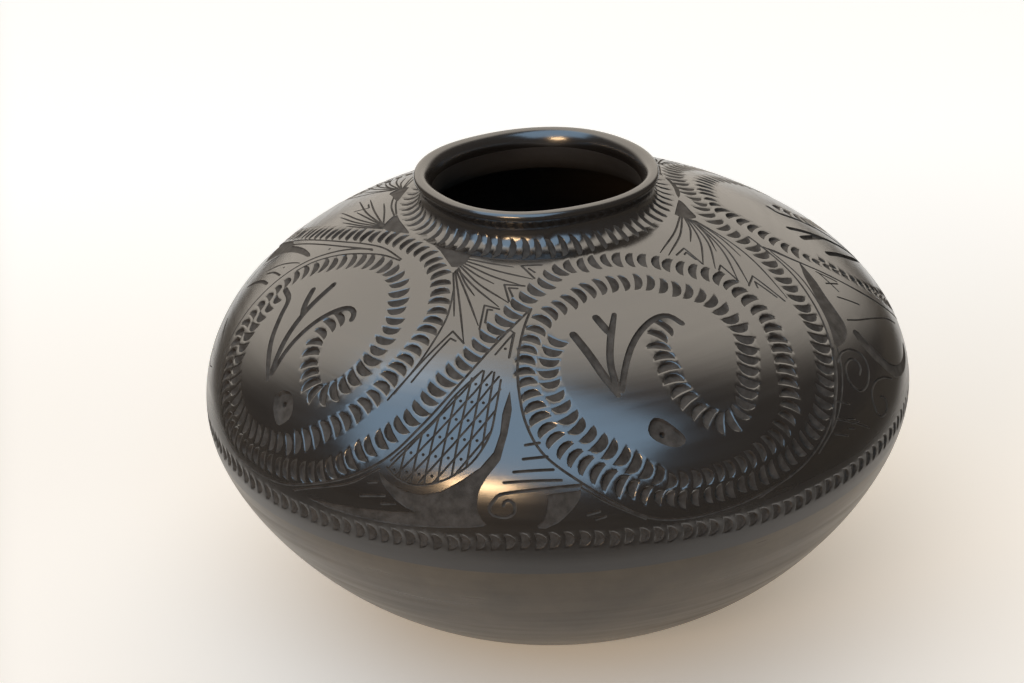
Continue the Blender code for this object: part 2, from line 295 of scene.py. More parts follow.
class Clay:
    """The shaped pot: turns azimuth, rise and carved depth into places in space."""

    NORMAL_TURN = 0.1
    NORMAL_RISE = 0.15
    FOOT_EASE = 12.0
    # Each wave's number round the pot, its climb for a millimetre, its start and its weight
    WAVES = ((5.0, 0.045, 0.6, 1.0), (9.0, -0.080, 2.1, 0.5), (3.0, 0.130, -0.8, 0.7))
    ALL_WEIGHTS = 2.2

    def __init__(self) -> None:
        """Work out both sides of the clay."""
        self.outer = outer_wall(SIZES)
        self.inner = inner_wall(SIZES)

    def bend(self, azimuth: Array, radius: Array | float, height: Array | float) -> Array:
        """Lean the upper body and give the mouth its hand-made outline.

        Args:
            azimuth: degrees.
            radius: millimetres, one for each azimuth or one for all.
            height: millimetres, in the same way.

        Returns:
            Rows of x, y, z in millimetres.
        """
        turn = np.radians(azimuth - 90.0)
        top = SIZES.collar_height
        climb = np.clip((height - SIZES.belly_height) / (top - SIZES.belly_height), 0.0, 1.0)
        ease = smooth((height - top) / (SIZES.cove_rise + SIZES.flare_rise))
        oval = HAND.mouth_oval * np.cos(2.0 * turn)
        square = HAND.mouth_squareness * np.cos(4.0 * (turn - math.radians(HAND.mouth_square_turn)))
        wave = HAND.lip_wave * np.cos(HAND.lip_waves * (turn - math.radians(HAND.lip_wave_turn)))
        radius = radius + ease * (oval + square) - self.dent(turn, height)
        return np.column_stack(
            [
                radius * np.cos(turn) + HAND.upper_lean * climb**2,
                radius * np.sin(turn),
                height + ease * wave,
            ]
        )

    @staticmethod
    def dent(turn: Array, height: Array | float) -> Array:
        """Soft unevenness of a scraped wall: three slow waves, 0 to about 0.3 mm inwards.

        Args:
            turn: radians.
            height: millimetres.

        Returns:
            Depth of the dent in millimetres.
        """
        waves = sum(
            weight * np.sin(number * turn + climb * height + start)
            for number, climb, start, weight in Clay.WAVES
        )
        return HAND.dent * smooth(height / Clay.FOOT_EASE) * (1.0 + waves / Clay.ALL_WEIGHTS)

    def outside(self, azimuth: Array, up: Array | float) -> Array:
        """Place on the uncarved outside."""
        return self.bend(azimuth, self.outer.radius(up), self.outer.height(up))

    def inside(self, azimuth: Array, up: Array | float) -> Array:
        """Place on the inside, read by the inner wall's own rise."""
        return self.bend(azimuth, self.inner.radius(up), self.inner.height(up))

    def outward(self, azimuth: Array, up: Array) -> Array:
        """Unit normal of the uncarved outside, from differences across a small turn and rise.

        Args:
            azimuth: degrees.
            up: rises.

        Returns:
            Rows of x, y, z.
        """
        along = self.outside(azimuth + self.NORMAL_TURN, up) - self.outside(azimuth - self.NORMAL_TURN, up)
        rise = self.outside(azimuth, up + self.NORMAL_RISE) - self.outside(azimuth, up - self.NORMAL_RISE)
        normal = np.cross(along, rise)
        return normal / np.linalg.norm(normal, axis=1)[:, None]

    def inner_rise(self, up: float) -> float:
        """Rise on the inner wall across the clay from a rise on the outer wall.

        Args:
            up: rise on the outer wall.

        Returns:
            Rise at the same share of the same part of the inner wall.
        """
        part = int(np.searchsorted(self.outer.marks, up)) - 1
        share = (up - self.outer.marks[part]) / (self.outer.marks[part + 1] - self.outer.marks[part])
        start, end = self.inner.marks[part], self.inner.marks[part + 1]
        return float(start + share * (end - start))


CLAY = Clay()


class Plan:
    """Flat plan of the outside without seam or stretch: the pot seen along its axis.

    The plan radius is chosen so that small shapes keep their shape: its logarithm falls by the
    length along the wall divided by the radius of the pot there.
    """

    def __init__(self, wall: Wall) -> None:
        """Work out the plan radius and its scale for each rise.

        Args:
            wall: outer wall of the pot.
        """
        self.up = np.arange(*PLAN_SPAN, FINE_STEP)
        radius = wall.radius(self.up)
        fall = np.concatenate([[0.0], np.cumsum(FINE_STEP / (0.5 * (radius[1:] + radius[:-1])))])
        fall -= np.interp(0.0, self.up, fall)
        self.distance = SIZES.belly_radius * np.exp(-fall)
        self.scale = self.distance / radius

    def flat(self, places: Places | Array) -> Array:
        """Lay places out flat.

        Args:
            places: rows of azimuth and rise.

        Returns:
            Plan points.
        """
        rows = np.asarray(places, float).reshape(-1, 2)
        turn = np.radians(rows[:, 0] - 90.0)
        distance = np.interp(rows[:, 1], self.up, self.distance)
        return np.column_stack([distance * np.cos(turn), distance * np.sin(turn)])

    def places(self, points: Array) -> tuple[Array, Array]:
        """Read places off the plan.

        Args:
            points: plan points.

        Returns:
            Azimuths and rises.
        """
        distance = np.hypot(points[:, 0], points[:, 1])
        azimuth = (np.degrees(np.arctan2(points[:, 1], points[:, 0])) + 270.0) % 360.0 - 180.0
        up = np.interp(-distance, -self.distance, self.up)
        return azimuth, up

    def unit(self, points: Array) -> Array:
        """Plan length of 1 mm of the real surface at rows of plan x and y."""
        distance = np.hypot(points[:, 0], points[:, 1])
        return np.interp(-distance, -self.distance, self.scale)


PLAN = Plan(CLAY.outer)


def spline(points: Array, closed: bool = False, fineness: int = 12) -> Array:
    """Smooth curve through points (Catmull and Rom).

    Args:
        points: rows of x and y.
        closed: True joins the last point to the first.
        fineness: pieces between neighbouring points.

    Returns:
        Rows of x and y, with the last point left out of a closed curve.
    """
    if closed:
        padded = np.vstack([points[-1:], points, points[:2]])
    else:
        padded = np.vstack([2.0 * points[:1] - points[1:2], points, 2.0 * points[-1:] - points[-2:-1]])
    share = np.arange(fineness)[:, None] / fineness
    pieces = []
    for before, start, end, after in zip(padded, padded[1:], padded[2:], padded[3:]):
        linear = end - before
        square = 2.0 * before - 5.0 * start + 4.0 * end - after
        cube = 3.0 * start - before - 3.0 * end + after
        pieces.append(start + 0.5 * (share * linear + share**2 * square + share**3 * cube))
    rows = np.vstack(pieces)
    return rows if closed else np.vstack([rows, points[-1:]])


def resample(points: Array, step: float, closed: bool = False) -> Array:
    """Points at even steps of real length along a plan curve.

    Args:
        points: plan points.
        step: real length between points, made a little longer or shorter to fit.
        closed: True joins the last point to the first.

    Returns:
        Plan points.
    """
    rows = np.vstack([points, points[:1]]) if closed else points
    real = np.hypot(*np.diff(rows, axis=0).T) / PLAN.unit(0.5 * (rows[1:] + rows[:-1]))
    run = np.concatenate([[0.0], np.cumsum(real)])
    count = max(2, int(round(run[-1] / step)) + 1)
    stops = np.linspace(0.0, run[-1], count)
    even = np.column_stack([np.interp(stops, run, rows[:, k]) for k in range(2)])
    return even[:-1] if closed else even


def headings(points: Array, closed: bool = False) -> Array:
    """Unit direction of travel at each point of a curve.

    Args:
        points: rows of x and y.
        closed: True joins the last point to the first.

    Returns:
        Rows of x and y.
    """
    if closed:
        step = np.roll(points, -1, axis=0) - np.roll(points, 1, axis=0)
    else:
        step = np.gradient(points, axis=0)
    return step / np.maximum(np.linalg.norm(step, axis=1), SMALL)[:, None]


def left_of(direction: Array) -> Array:
    """Directions turned a quarter turn to the left."""
    return np.column_stack([-direction[:, 1], direction[:, 0]])


class Sites:
    """Points and edges that the triangulation of the plan has to keep."""

    def __init__(self) -> None:
        """Start with nothing to keep."""
        self.points: list[Array] = []
        self.edges: list[Array] = []
        self.count = 0

    def add(self, points: Array, closed: bool) -> None:
        """Add a chain of points, or a ring of them.

        Args:
            points: plan points.
            closed: True for a ring.
        """
        order = np.arange(len(points)) + self.count
        ends = np.roll(order, -1) if closed else order[1:]
        self.edges.append(np.column_stack([order[: len(ends)], ends]))
        self.loose(points)

    def loose(self, points: Array) -> None:
        """Add points without edges."""
        self.points.append(points)
        self.count += len(points)

    def rings(self, rings: Array) -> None:
        """Add many closed rings."""
        for ring in rings:
            self.add(ring, True)


class Mark:
    """Something cut into the clay."""

    def lay(self, sites: Sites) -> None:
        """Add the points and edges that the triangulation needs."""
        raise NotImplementedError

    def cut(self, ground: "Ground") -> None:
        """Deepen the ground's points and note which of them lie in carved clay."""
        raise NotImplementedError


class Ground:
    """Plan points with the depth of the carving at each, sorted so that marks find theirs fast."""

    def __init__(self, points: Array) -> None:
        """Sort the points and start uncarved.

        Args:
            points: plan points.
        """
        self.order = np.argsort(points[:, 0], kind="stable")
        self.points = points[self.order]
        self.depth = np.zeros(len(points))
        self.raw = np.zeros(len(points), bool)

    def near(self, low: Array, high: Array) -> Array:
        """Points in a box of the plan.

        Args:
            low: its lower left corner.
            high: its upper right corner.

        Returns:
            Their numbers.
        """
        first, last = np.searchsorted(self.points[:, 0], [low[0], high[0]])
        part = self.points[first:last, 1]
        return first + np.nonzero((part >= low[1]) & (part <= high[1]))[0]

    def deepen(self, index: Array, depth: Array, raw: Array) -> None:
        """Keep the deepest cut at the given points."""
        self.depth[index] = np.maximum(self.depth[index], depth)
        self.raw[index] |= raw

    def result(self) -> tuple[Array, Array]:
        """What the marks have done, in the order in which the points were given.

        Returns:
            Depth at each point, and True where it lies in carved clay.
        """
        depth = np.empty_like(self.depth)
        raw = np.empty_like(self.raw)
        depth[self.order] = self.depth
        raw[self.order] = self.raw
        return depth, raw


@dataclass(frozen=True)
class GougeSizes:
    """One half-moon gouge: its width across the row, its length along it and its cut."""

    across: float = 8.4
    along: float = 3.6
    bulge: float = -0.45
    depth: float = 1.65
    lip: float = 0.65
    lip_drop: float = 0.30
    wall: float = 0.40
    shallow: float = 0.20
    full_share: float = 0.8
    turn_spread: float = 3.0
    drift: float = 0.16
    clearance: float = 0.5
    least_half: float = 1.6


class GougeRow(Mark):
    """Half-moon gouges in a row: the round side is steep and faces back along the row."""

    ROUND_TURNS = np.radians(np.linspace(0.0, 180.0, 9))
    FRONT_ACROSS = (-0.55, 0.0, 0.55)
    FRONT_BULGE = (0.7, 1.0, 0.7)
    NEIGHBOURS = 5
    HALF_SPREAD = (0.93, 1.06)
    BACK_SPREAD = (0.92, 1.08)
    DEPTH_SPREAD = (0.85, 1.1)
    # Growth of a ring's half width, its round side and its shift, as shares of the lip or the wall
    LIP_RING = np.array([1.5, 1.0, 1.0])
    WALL_RING = np.array([-2.4, -1.7, -0.8])
    REACH_MARGIN = 1.0

    def __init__(self, path: Array, sizes: GougeSizes, pitch: float, seed: int, closed: bool = False) -> None:
        """Space the gouges along a plan curve.

        Args:
            path: plan points.
            sizes: sizes of one gouge.
            pitch: real distance between gouges.
            seed: choice of the hand's small variations.
            closed: True for a ring.
        """
        chance = np.random.default_rng(seed)
        centres = resample(path, pitch, closed)
        ahead = headings(centres, closed)
        count = len(centres)
        self.sizes = sizes
        self.unit = PLAN.unit(centres)
        turn = np.radians(chance.normal(0.0, sizes.turn_spread, count))
        self.ahead = np.column_stack(
            [
                ahead[:, 0] * np.cos(turn) - ahead[:, 1] * np.sin(turn),
                ahead[:, 0] * np.sin(turn) + ahead[:, 1] * np.cos(turn),
            ]
        )
        self.side = left_of(self.ahead)
        drift = chance.normal(0.0, sizes.drift, (count, 2)) * self.unit[:, None]
        self.centres = centres + drift + self.ahead * (0.5 * sizes.along * self.unit)[:, None]
        self.half = 0.5 * sizes.across * chance.uniform(*self.HALF_SPREAD, count)
        self.back = sizes.along * chance.uniform(*self.BACK_SPREAD, count)
        self.deep = sizes.depth * chance.uniform(*self.DEPTH_SPREAD, count)

    def make_room(self, centres: Array, first: int) -> None:
        """Narrow each gouge that lies close to one of another row or of another turn of this row.

        Args:
            centres: centres of the gouges of all the rows.
            first: place of this row's first gouge among them.
        """
        number = np.arange(len(centres))[None, :]
        own = (first + np.arange(len(self.centres)))[:, None]
        away = np.linalg.norm(centres[None, :, :] - self.centres[:, None, :], axis=2) / self.unit[:, None]
        away = np.where(np.abs(number - own) > self.NEIGHBOURS, away, np.inf).min(1)
        room = np.maximum(0.5 * away - self.sizes.clearance, self.sizes.least_half)
        self.half = np.minimum(self.half, room)

    def _ring(self, half: Array, back: Array, front: float, shift: float) -> Array:
        """Points round each gouge: a half ellipse behind and a flat arc ahead.

        Args:
            half: half of each gouge's width across the row.
            back: length of each gouge's round side.
            front: how far the flat side bulges ahead.
            shift: how far the whole ring moves ahead.

        Returns:
            Array of rings, their points, and plan x and y.
        """
        across = np.concatenate([np.cos(self.ROUND_TURNS), self.FRONT_ACROSS])
        behind = np.concatenate([-np.sin(self.ROUND_TURNS), np.zeros(len(self.FRONT_BULGE))])
        bulge = np.concatenate([np.zeros(len(self.ROUND_TURNS)), self.FRONT_BULGE])
        along = behind[None, :] * back[:, None] + bulge[None, :] * front + shift
        sideways = across[None, :] * half[:, None]
        scaled_side = self.side[:, None, :] * (sideways * self.unit[:, None])[:, :, None]
        scaled_ahead = self.ahead[:, None, :] * (along * self.unit[:, None])[:, :, None]
        return self.centres[:, None, :] + scaled_side + scaled_ahead

    def lay(self, sites: Sites) -> None:
        """Three rings for each gouge: round its lip, at its edge and at the foot of its wall.

        Args:
            sites: what the triangulation keeps.
        """
        size = self.sizes
        for across, back, shift in (size.lip * self.LIP_RING, np.zeros(3), size.wall * self.WALL_RING):
            sites.rings(self._ring(self.half + across, self.back + back, size.bulge, shift))

    def cut(self, ground: Ground) -> None:
        """Depth of a gouge: a floor that is deepest at its round wall and fades out ahead.

        Args:
            ground: points to deepen.
        """
        size = self.sizes
        reach = (self.half + self.back + self.REACH_MARGIN) * self.unit
        for place, ahead, side, unit, half, back, deep, span in zip(
            self.centres, self.ahead, self.side, self.unit, self.half, self.back, self.deep, reach
        ):
            index = ground.near(place - span, place + span)
            local = (ground.points[index] - place) / unit
            along = local @ ahead
            across = local @ side
            share = across / half
            oval = np.sqrt(share**2 + (np.minimum(along, 0.0) / back) ** 2) + SMALL
            slope = np.sqrt((share / half) ** 2 + (np.minimum(along, 0.0) / back**2) ** 2) / oval + SMALL
            from_back = (1.0 - oval) / slope
            front = size.bulge * np.clip(1.0 - share**2, 0.0, 1.0)
            from_front = front - along
            inward = np.minimum(from_back, from_front)
            full = np.clip(from_front / (size.full_share * back), 0.0, 1.0)
            floor = deep * (size.shallow + (1.0 - size.shallow) * full)
            lip = size.lip_drop * np.clip(1.0 + inward / size.lip, 0.0, 1.0) ** 2
            depth = lip + (floor - size.lip_drop) * smooth(inward / size.wall) * (inward > 0.0)
            ground.deepen(index, depth, inward > 0.0)


@dataclass(frozen=True)
class GrooveSizes:
    """An incised line: its width, its depth in the middle and the step between its points."""

    width: float = 0.9
    depth: float = 0.42
    step: float = 2.6


class Groove(Mark):
    """A line cut with a point, or with a blunt tool when it is wide."""

    BLUNT_WIDTH = 1.5
    BLUNT_WALL = 0.42
    FLOOR_INSET = 0.4
    TAPER_SHARE = 0.25
    PIECES_AT_ONCE = 8
    LEAST_FLOOR = 0.3
    END_TURNS = np.radians([45.0, 90.0, 135.0])[:, None]

    def __init__(self, path: Array, sizes: GrooveSizes, ends: Pair = (1.0, 1.0)) -> None:
        """Space the points of the line.

        Args:
            path: plan points.
            sizes: sizes of the groove.
            ends: share of the width at the start and at the end.
        """
        self.sizes = sizes
        self.blunt = sizes.width > self.BLUNT_WIDTH
        self.points = resample(path, sizes.step)
        self.unit = PLAN.unit(self.points)
        share = np.linspace(0.0, 1.0, len(self.points))
        taper = np.clip(share / self.TAPER_SHARE, 0.0, 1.0) * (1.0 - ends[0]) + ends[0]
        taper *= np.clip((1.0 - share) / self.TAPER_SHARE, 0.0, 1.0) * (1.0 - ends[1]) + ends[1]
        self.half = 0.5 * sizes.width * taper

    def lay(self, sites: Sites) -> None:
        """A round-ended outline and a middle line, and two floor lines when the groove is wide.

        Args:
            sites: what the triangulation keeps.
        """
        ahead = headings(self.points)
        side = left_of(ahead)
        offset = (self.half * self.unit)[:, None]
        left = self.points + side * offset
        right = self.points - side * offset
        turn = self.END_TURNS
        end = self.points[-1] + offset[-1] * (np.cos(turn) * side[-1] + np.sin(turn) * ahead[-1])
        start = self.points[0] + offset[0] * (-np.cos(turn) * side[0] - np.sin(turn) * ahead[0])
        sites.add(np.vstack([left, end, right[::-1], start]), True)
        sites.add(self.points, False)
        if self.blunt:
            floor = np.maximum(self.half - self.FLOOR_INSET, self.LEAST_FLOOR * self.half)
            inset = (floor * self.unit)[:, None]
            sites.add(self.points + side * inset, False)
            sites.add(self.points - side * inset, False)

    def cut(self, ground: Ground) -> None:
        """Depth of the groove: a soft V when thin, and a flat floor when wide.

        Args:
            ground: points to deepen.
        """
        halves, units = self.half, self.unit
        for first in range(0, len(self.points) - 1, self.PIECES_AT_ONCE):
            last = first + self.PIECES_AT_ONCE + 1
            end = self.points[first + 1 : last]
            start = self.points[first : first + len(end)]
            span = halves[first:last].max() * units[first:last].max()
            low = np.minimum(start.min(0), end.min(0)) - span
            high = np.maximum(start.max(0), end.max(0)) + span
            index = ground.near(low, high)
            if len(index) == 0:
                continue
            away, share, best = nearest_on(ground.points[index], start, end)
            number = first + best
            half = halves[number] * (1.0 - share) + halves[number + 1] * share
            unit = units[number] * (1.0 - share) + units[number + 1] * share
            inward = half - away / unit
            if self.blunt:
                shape = smooth(inward / self.BLUNT_WALL)
            else:
                shape = np.clip(inward / np.maximum(half, HAIR), 0.0, 1.0)
            ground.deepen(index, self.sizes.depth * shape, inward > 0.0)


def nearest_on(points: Array, start: Array, end: Array) -> tuple[Array, Array, Array]:
    """Nearest straight piece of a chain to each point.

    Args:
        points: rows of x and y.
        start: starts of the pieces.
        end: ends of the pieces.

    Returns:
        Distance, share along the nearest piece, and its number.
    """
    along = end - start
    length = np.maximum((along**2).sum(1), TINY)
    gap = points[:, None, :] - start[None, :, :]
    share = np.clip((gap * along[None, :, :]).sum(2) / length[None, :], 0.0, 1.0)
    away = np.linalg.norm(gap - share[:, :, None] * along[None, :, :], axis=2)
    best = away.argmin(1)
    rows = np.arange(len(points))
    return away[rows, best], share[rows, best], best


def inside_ring(points: Array, ring: Array) -> Array:
    """Which points lie inside a closed ring, by counting the edges that a ray crosses.

    Args:
        points: rows of x and y.
        ring: rows of x and y.

    Returns:
        True for each point inside.
    """
    start = ring
    end = np.roll(ring, -1, axis=0)
    x, y = points[:, 0][:, None], points[:, 1][:, None]
    straddles = (start[None, :, 1] > y) != (end[None, :, 1] > y)
    rise = end[:, 1] - start[:, 1]
    rise = np.where(np.abs(rise) < TINY, TINY, rise)
    cross = start[None, :, 0] + (y - start[None, :, 1]) * (end - start)[None, :, 0] / rise[None, :]
    return ((straddles & (x < cross)).sum(1) % 2).astype(bool)


@dataclass(frozen=True)
class FieldSizes:
    """A scraped field: its depth and the width of the slope at its edge."""

    depth: float = 0.38
    slope: float = 0.32
    step: float = 2.4


class Field(Mark):
    """A matte field scraped back below the burnish."""

    def __init__(self, ring: Array, sizes: FieldSizes) -> None:
        """Space the points of the edge, a plan ring."""
        self.sizes = sizes
        self.ring = resample(ring, sizes.step, True)

    def lay(self, sites: Sites) -> None:
        """The edge of the field and the foot of its slope.

        Args:
            sites: what the triangulation keeps.
        """
        ring = self.ring
        doubled = np.sum(ring[:, 0] * np.roll(ring[:, 1], -1) - np.roll(ring[:, 0], -1) * ring[:, 1])
        side = left_of(headings(ring, True)) * np.sign(doubled)
        offset = (self.sizes.slope * PLAN.unit(ring))[:, None]
        sites.add(ring, True)
        sites.add(ring + side * offset, True)

    def cut(self, ground: Ground) -> None:
        """Depth of the field: level inside, with a smooth slope at its edge.

        Args:
            ground: points to deepen.
        """
        index = ground.near(self.ring.min(0), self.ring.max(0))
        points = ground.points[index]
        within = inside_ring(points, self.ring)
        index = index[within]
        points = points[within]
        inward = nearest_on(points, self.ring, np.roll(self.ring, -1, axis=0))[0] / PLAN.unit(points)
        ground.deepen(index, self.sizes.depth * smooth(inward / self.sizes.slope), inward > HAIR)


@dataclass(frozen=True)
class PitSizes:
    """A dot: its radius and depth, the steepness of its wall, and its rings as shares of the radius."""

    radius: float = 0.6
    depth: float = 0.7
    steepness: float = 2.0
    rings: tuple[float, ...] = (1.0,)


class Pits(Mark):
    """Small round dots pressed into the clay."""

    RIM_TURNS = np.radians(np.arange(0.0, 360.0, 45.0))
    EDGE_SHARE = 0.999

    def __init__(self, places: Places, sizes: PitSizes) -> None:
        """Place the dots.

        Args:
            places: their centres.
            sizes: sizes of one dot.
        """
        self.centres = PLAN.flat(places)
        self.unit = PLAN.unit(self.centres)
        self.sizes = sizes

    def lay(self, sites: Sites) -> None:
        """The rings and the centre of each dot.

        Args:
            sites: what the triangulation keeps.
        """
        circle = np.column_stack([np.cos(self.RIM_TURNS), np.sin(self.RIM_TURNS)])
        spread = (self.sizes.radius * self.unit)[:, None, None]
        for share in self.sizes.rings:
            sites.rings(self.centres[:, None, :] + circle[None, :, :] * spread * share)
        sites.loose(self.centres)

    def cut(self, ground: Ground) -> None:
        """Depth of a dot: depth * (1 - (distance / radius)^steepness).

        Args:
            ground: points to deepen.
        """
        for centre, unit in zip(self.centres, self.unit):
            span = self.sizes.radius * unit
            index = ground.near(centre - span, centre + span)
            share = np.linalg.norm(ground.points[index] - centre, axis=1) / span
            bowl = np.clip(1.0 - share**self.sizes.steepness, 0.0, 1.0)
            ground.deepen(index, self.sizes.depth * bowl, share < self.EDGE_SHARE)


# Tools of the carver

FINE = GrooveSizes(width=0.85, depth=0.40)
BORDER = GrooveSizes(width=1.0, depth=0.45)
SHORT = GrooveSizes(width=1.1, depth=0.50)
CURLED = GrooveSizes(width=1.1, depth=0.50, step=1.4)
SPIRAL = GrooveSizes(width=1.3, depth=0.55, step=1.3)
SOFT = GrooveSizes(width=1.6, depth=0.38, step=2.0)
FAR_STROKE = GrooveSizes(width=1.8, depth=0.5, step=2.0)
FAR_CURL = GrooveSizes(width=0.6, depth=0.2)
STROKE = GrooveSizes(width=3.2, depth=1.15, step=1.8)
SLIM_STROKE = GrooveSizes(width=2.7, depth=1.1, step=1.8)
MIDDLE_STROKE = GrooveSizes(width=2.9, depth=1.1, step=1.8)
BRANCH = GrooveSizes(width=3.0, depth=1.1, step=1.5)
PLUME = GrooveSizes(width=2.4, depth=1.0, step=1.8)
SCRAPED = FieldSizes()
EYE = FieldSizes(depth=1.35, slope=0.7, step=1.8)
DOT = PitSizes()
HATCH_DOT = PitSizes(radius=0.62, depth=0.75)
FAR_DOT = PitSizes(depth=0.6)
PUPIL = PitSizes(radius=1.2, depth=3.4, steepness=5.0, rings=(1.0, 0.6))
ROW_GOUGE = GougeSizes()
BELT_GOUGE = GougeSizes(across=5.8, along=3.7, depth=1.1)
COLLAR_GOUGE = GougeSizes(across=9.2, along=2.8, depth=1.2)


def shifted(places: Places, turn: float) -> Places:
    """Places moved round the pot."""
    return [(azimuth + turn, up) for azimuth, up in places]


def fitted(places: Places, middle: float, azimuth: float, share: float) -> Places:
    """Places moved from one middle azimuth to another and drawn in or out about it."""
    return [(azimuth + (turn - middle) * share, up) for turn, up in places]


def line(places: Places, sizes: GrooveSizes = FINE, curved: bool = True, ends: Pair = (1.0, 1.0)) -> Groove:
    """A groove through places, straight from one to the next if it isn't curved."""
    flat = PLAN.flat(places)
    return Groove(spline(flat) if curved and len(flat) > 2 else flat, sizes, ends)


def corners(places: Places, sizes: GrooveSizes = FINE) -> list[Groove]:
    """Straight grooves that meet at corners, one for each side."""
    flat = PLAN.flat(places)
    return [Groove(flat[k : k + 2], sizes) for k in range(len(flat) - 1)]


def area(places: Places, curved: bool = True) -> Array:
    """Plan ring through places."""
    flat = PLAN.flat(places)
    return spline(flat, True) if curved else flat


@dataclass
class Medallion:
    """A round head in a row of gouges that winds in from the unit before it."""

    azimuth: float
    head: Places
    strokes: list[tuple[Places, GrooveSizes]]
    eye: Places
    pupil: Pair

    POINTED = (0.95, 0.7)
    BLUNT = (0.95, 1.0)

    def marks(self) -> list[Mark]:
        """Strokes of the crest, which all but the plume come to a point, and the eye.

        Returns:
            Grooves, a field and a pit.
        """
        made: list[Mark] = []
        for places, sizes in self.strokes:
            made.append(line(places, sizes, ends=self.BLUNT if sizes is PLUME else self.POINTED))
        return made + [Field(area(self.eye), EYE), Pits([self.pupil], PUPIL)]


# Azimuth and rise of the design, traced from the photograph in degrees and millimetres

HEAD_ROW: Places = [
    (27.5, 81), (25, 79), (23.5, 74.5), (23.3, 69.5), (23, 63.5), (23.2, 56.5), (24, 51), (25.2, 46),
    (27, 41.5), (29.5, 40), (32, 42), (35, 48), (38, 55), (40, 61), (42.5, 68), (43, 75), (42.8, 82),
    (41.5, 88), (38.5, 93.5), (35.5, 97.5), (31.5, 102), (26.5, 105), (20, 106), (14.5, 105.5), (9.5, 102),
    (5, 98.8), (1, 94.5), (-2, 88.5), (-4, 80), (-4.8, 71.5), (-4.2, 64.5), (-3, 56), (-1.7, 49),
    (0.5, 42.5), (3.5, 36), (7, 29.5), (11, 24), (16, 19), (21, 16.8), (26, 17), (32, 18), (37, 20.5),
    (42, 24.5), (46.5, 30), (50, 36), (53.5, 43), (57, 51), (60, 59.5), (62.5, 67.5), (65.5, 75.5), (68, 82),
    (70.3, 88), (72.5, 94), (74.5, 100),
]
OVER_ROW: Places = [
    (0.8, 109.5), (4, 114.5), (8.5, 118), (14, 118.3), (20.5, 118.7), (26.5, 118), (32, 115.8), (37.5, 112),
    (41.5, 107.8), (45.5, 102), (49, 96), (51, 90), (51.2, 83.5), (51, 76.5), (50.2, 69), (48.7, 61),
    (46.3, 53), (43.5, 44.5), (41, 36.5), (37.5, 31), (33.5, 27.3), (28.5, 25), (23, 24), (18, 24.5),
    (14, 29), (10.5, 35), (7, 41.5), (4.2, 47.5), (2.2, 54), (0.8, 61.5), (0, 68.5), (0.3, 75.5),
    (2.2, 82.5),
]
LEFT_HEAD_ROW: Places = [
    (-51.8, 78), (-53.2, 71.5), (-53.2, 65.5), (-51.8, 59.5), (-50, 54.5), (-48, 50.5), (-45.8, 47),
    (-43, 48.5), (-40.3, 53.5), (-38.5, 60), (-37.4, 67), (-37, 74.5), (-37, 81), (-38, 87), (-39.8, 92.5),
    (-42.3, 98), (-46, 102.5), (-51, 105), (-57, 105), (-62.5, 103), (-67.5, 98.5), (-72, 92.5),
    (-75.8, 85.5), (-78, 77.5), (-79, 68.5), (-78.5, 59.5), (-77.8, 50), (-76, 42), (-73, 34.5),
    (-69.5, 26.5), (-65, 18.5), (-60, 14.8), (-54.5, 14.9), (-49, 15.8), (-43, 18.5), (-38.5, 21.8),
    (-34.5, 28), (-31, 35), (-27.5, 42), (-24.8, 49), (-22.5, 57), (-20, 66), (-17, 73.5), (-14.8, 80.5),
    (-12.3, 87), (-9.6, 93.9), (-6, 100.5), (-2.6, 106),
]
LEFT_OVER_ROW: Places = [
    (-88, 98), (-82, 104.5), (-76, 110), (-70, 115), (-63.5, 117.8), (-56.5, 119), (-49, 119), (-43, 117.3),
    (-37.5, 113.8), (-33.5, 110), (-30.8, 104), (-28.8, 98), (-27.7, 91), (-28, 83.5), (-29.2, 74.5),
    (-30.8, 66), (-32.5, 57), (-35, 47.5), (-38.5, 39), (-42.5, 31.5), (-47, 26), (-52.5, 23.2),
    (-58.5, 23.2), (-63.5, 27), (-67.5, 33), (-71, 41), (-73.5, 49.5), (-74.5, 58), (-75, 65),
]

RIGHT_HEAD_ROW: Places = [
    (107.2, 76), (105.8, 70.5), (105.8, 64.5), (107.2, 58.5), (109, 53.5), (111, 49.5), (113.2, 46),
    (116, 47.5), (118.7, 52.5), (120.5, 60), (121.6, 67), (122, 74.5), (122, 82), (121, 89), (119, 96),
    (115, 102.5), (110, 107), (104, 109.5), (97.5, 110.2), (92, 109.4), (88.4, 106.8), (86, 102.2),
    (83.8, 96.6), (82, 91), (80.8, 85), (80.4, 79), (81, 71), (82.2, 63), (83.6, 54), (85.4, 44.6),
    (87.8, 36.2), (91, 27.8), (95.2, 20), (100, 15.4), (106, 14.8), (112, 16.2), (118, 19.4), (123, 24.4),
    (127.6, 31.6), (132, 41), (135.8, 51), (139.2, 62), (142.4, 73), (145.6, 82.5), (150, 91), (156, 98),
    (163, 103), (171, 106.5),
]
BACK_TO_LEFT: Places = [(251.2, 64.8), (256.6, 75), (262, 84), (267, 91.6)]

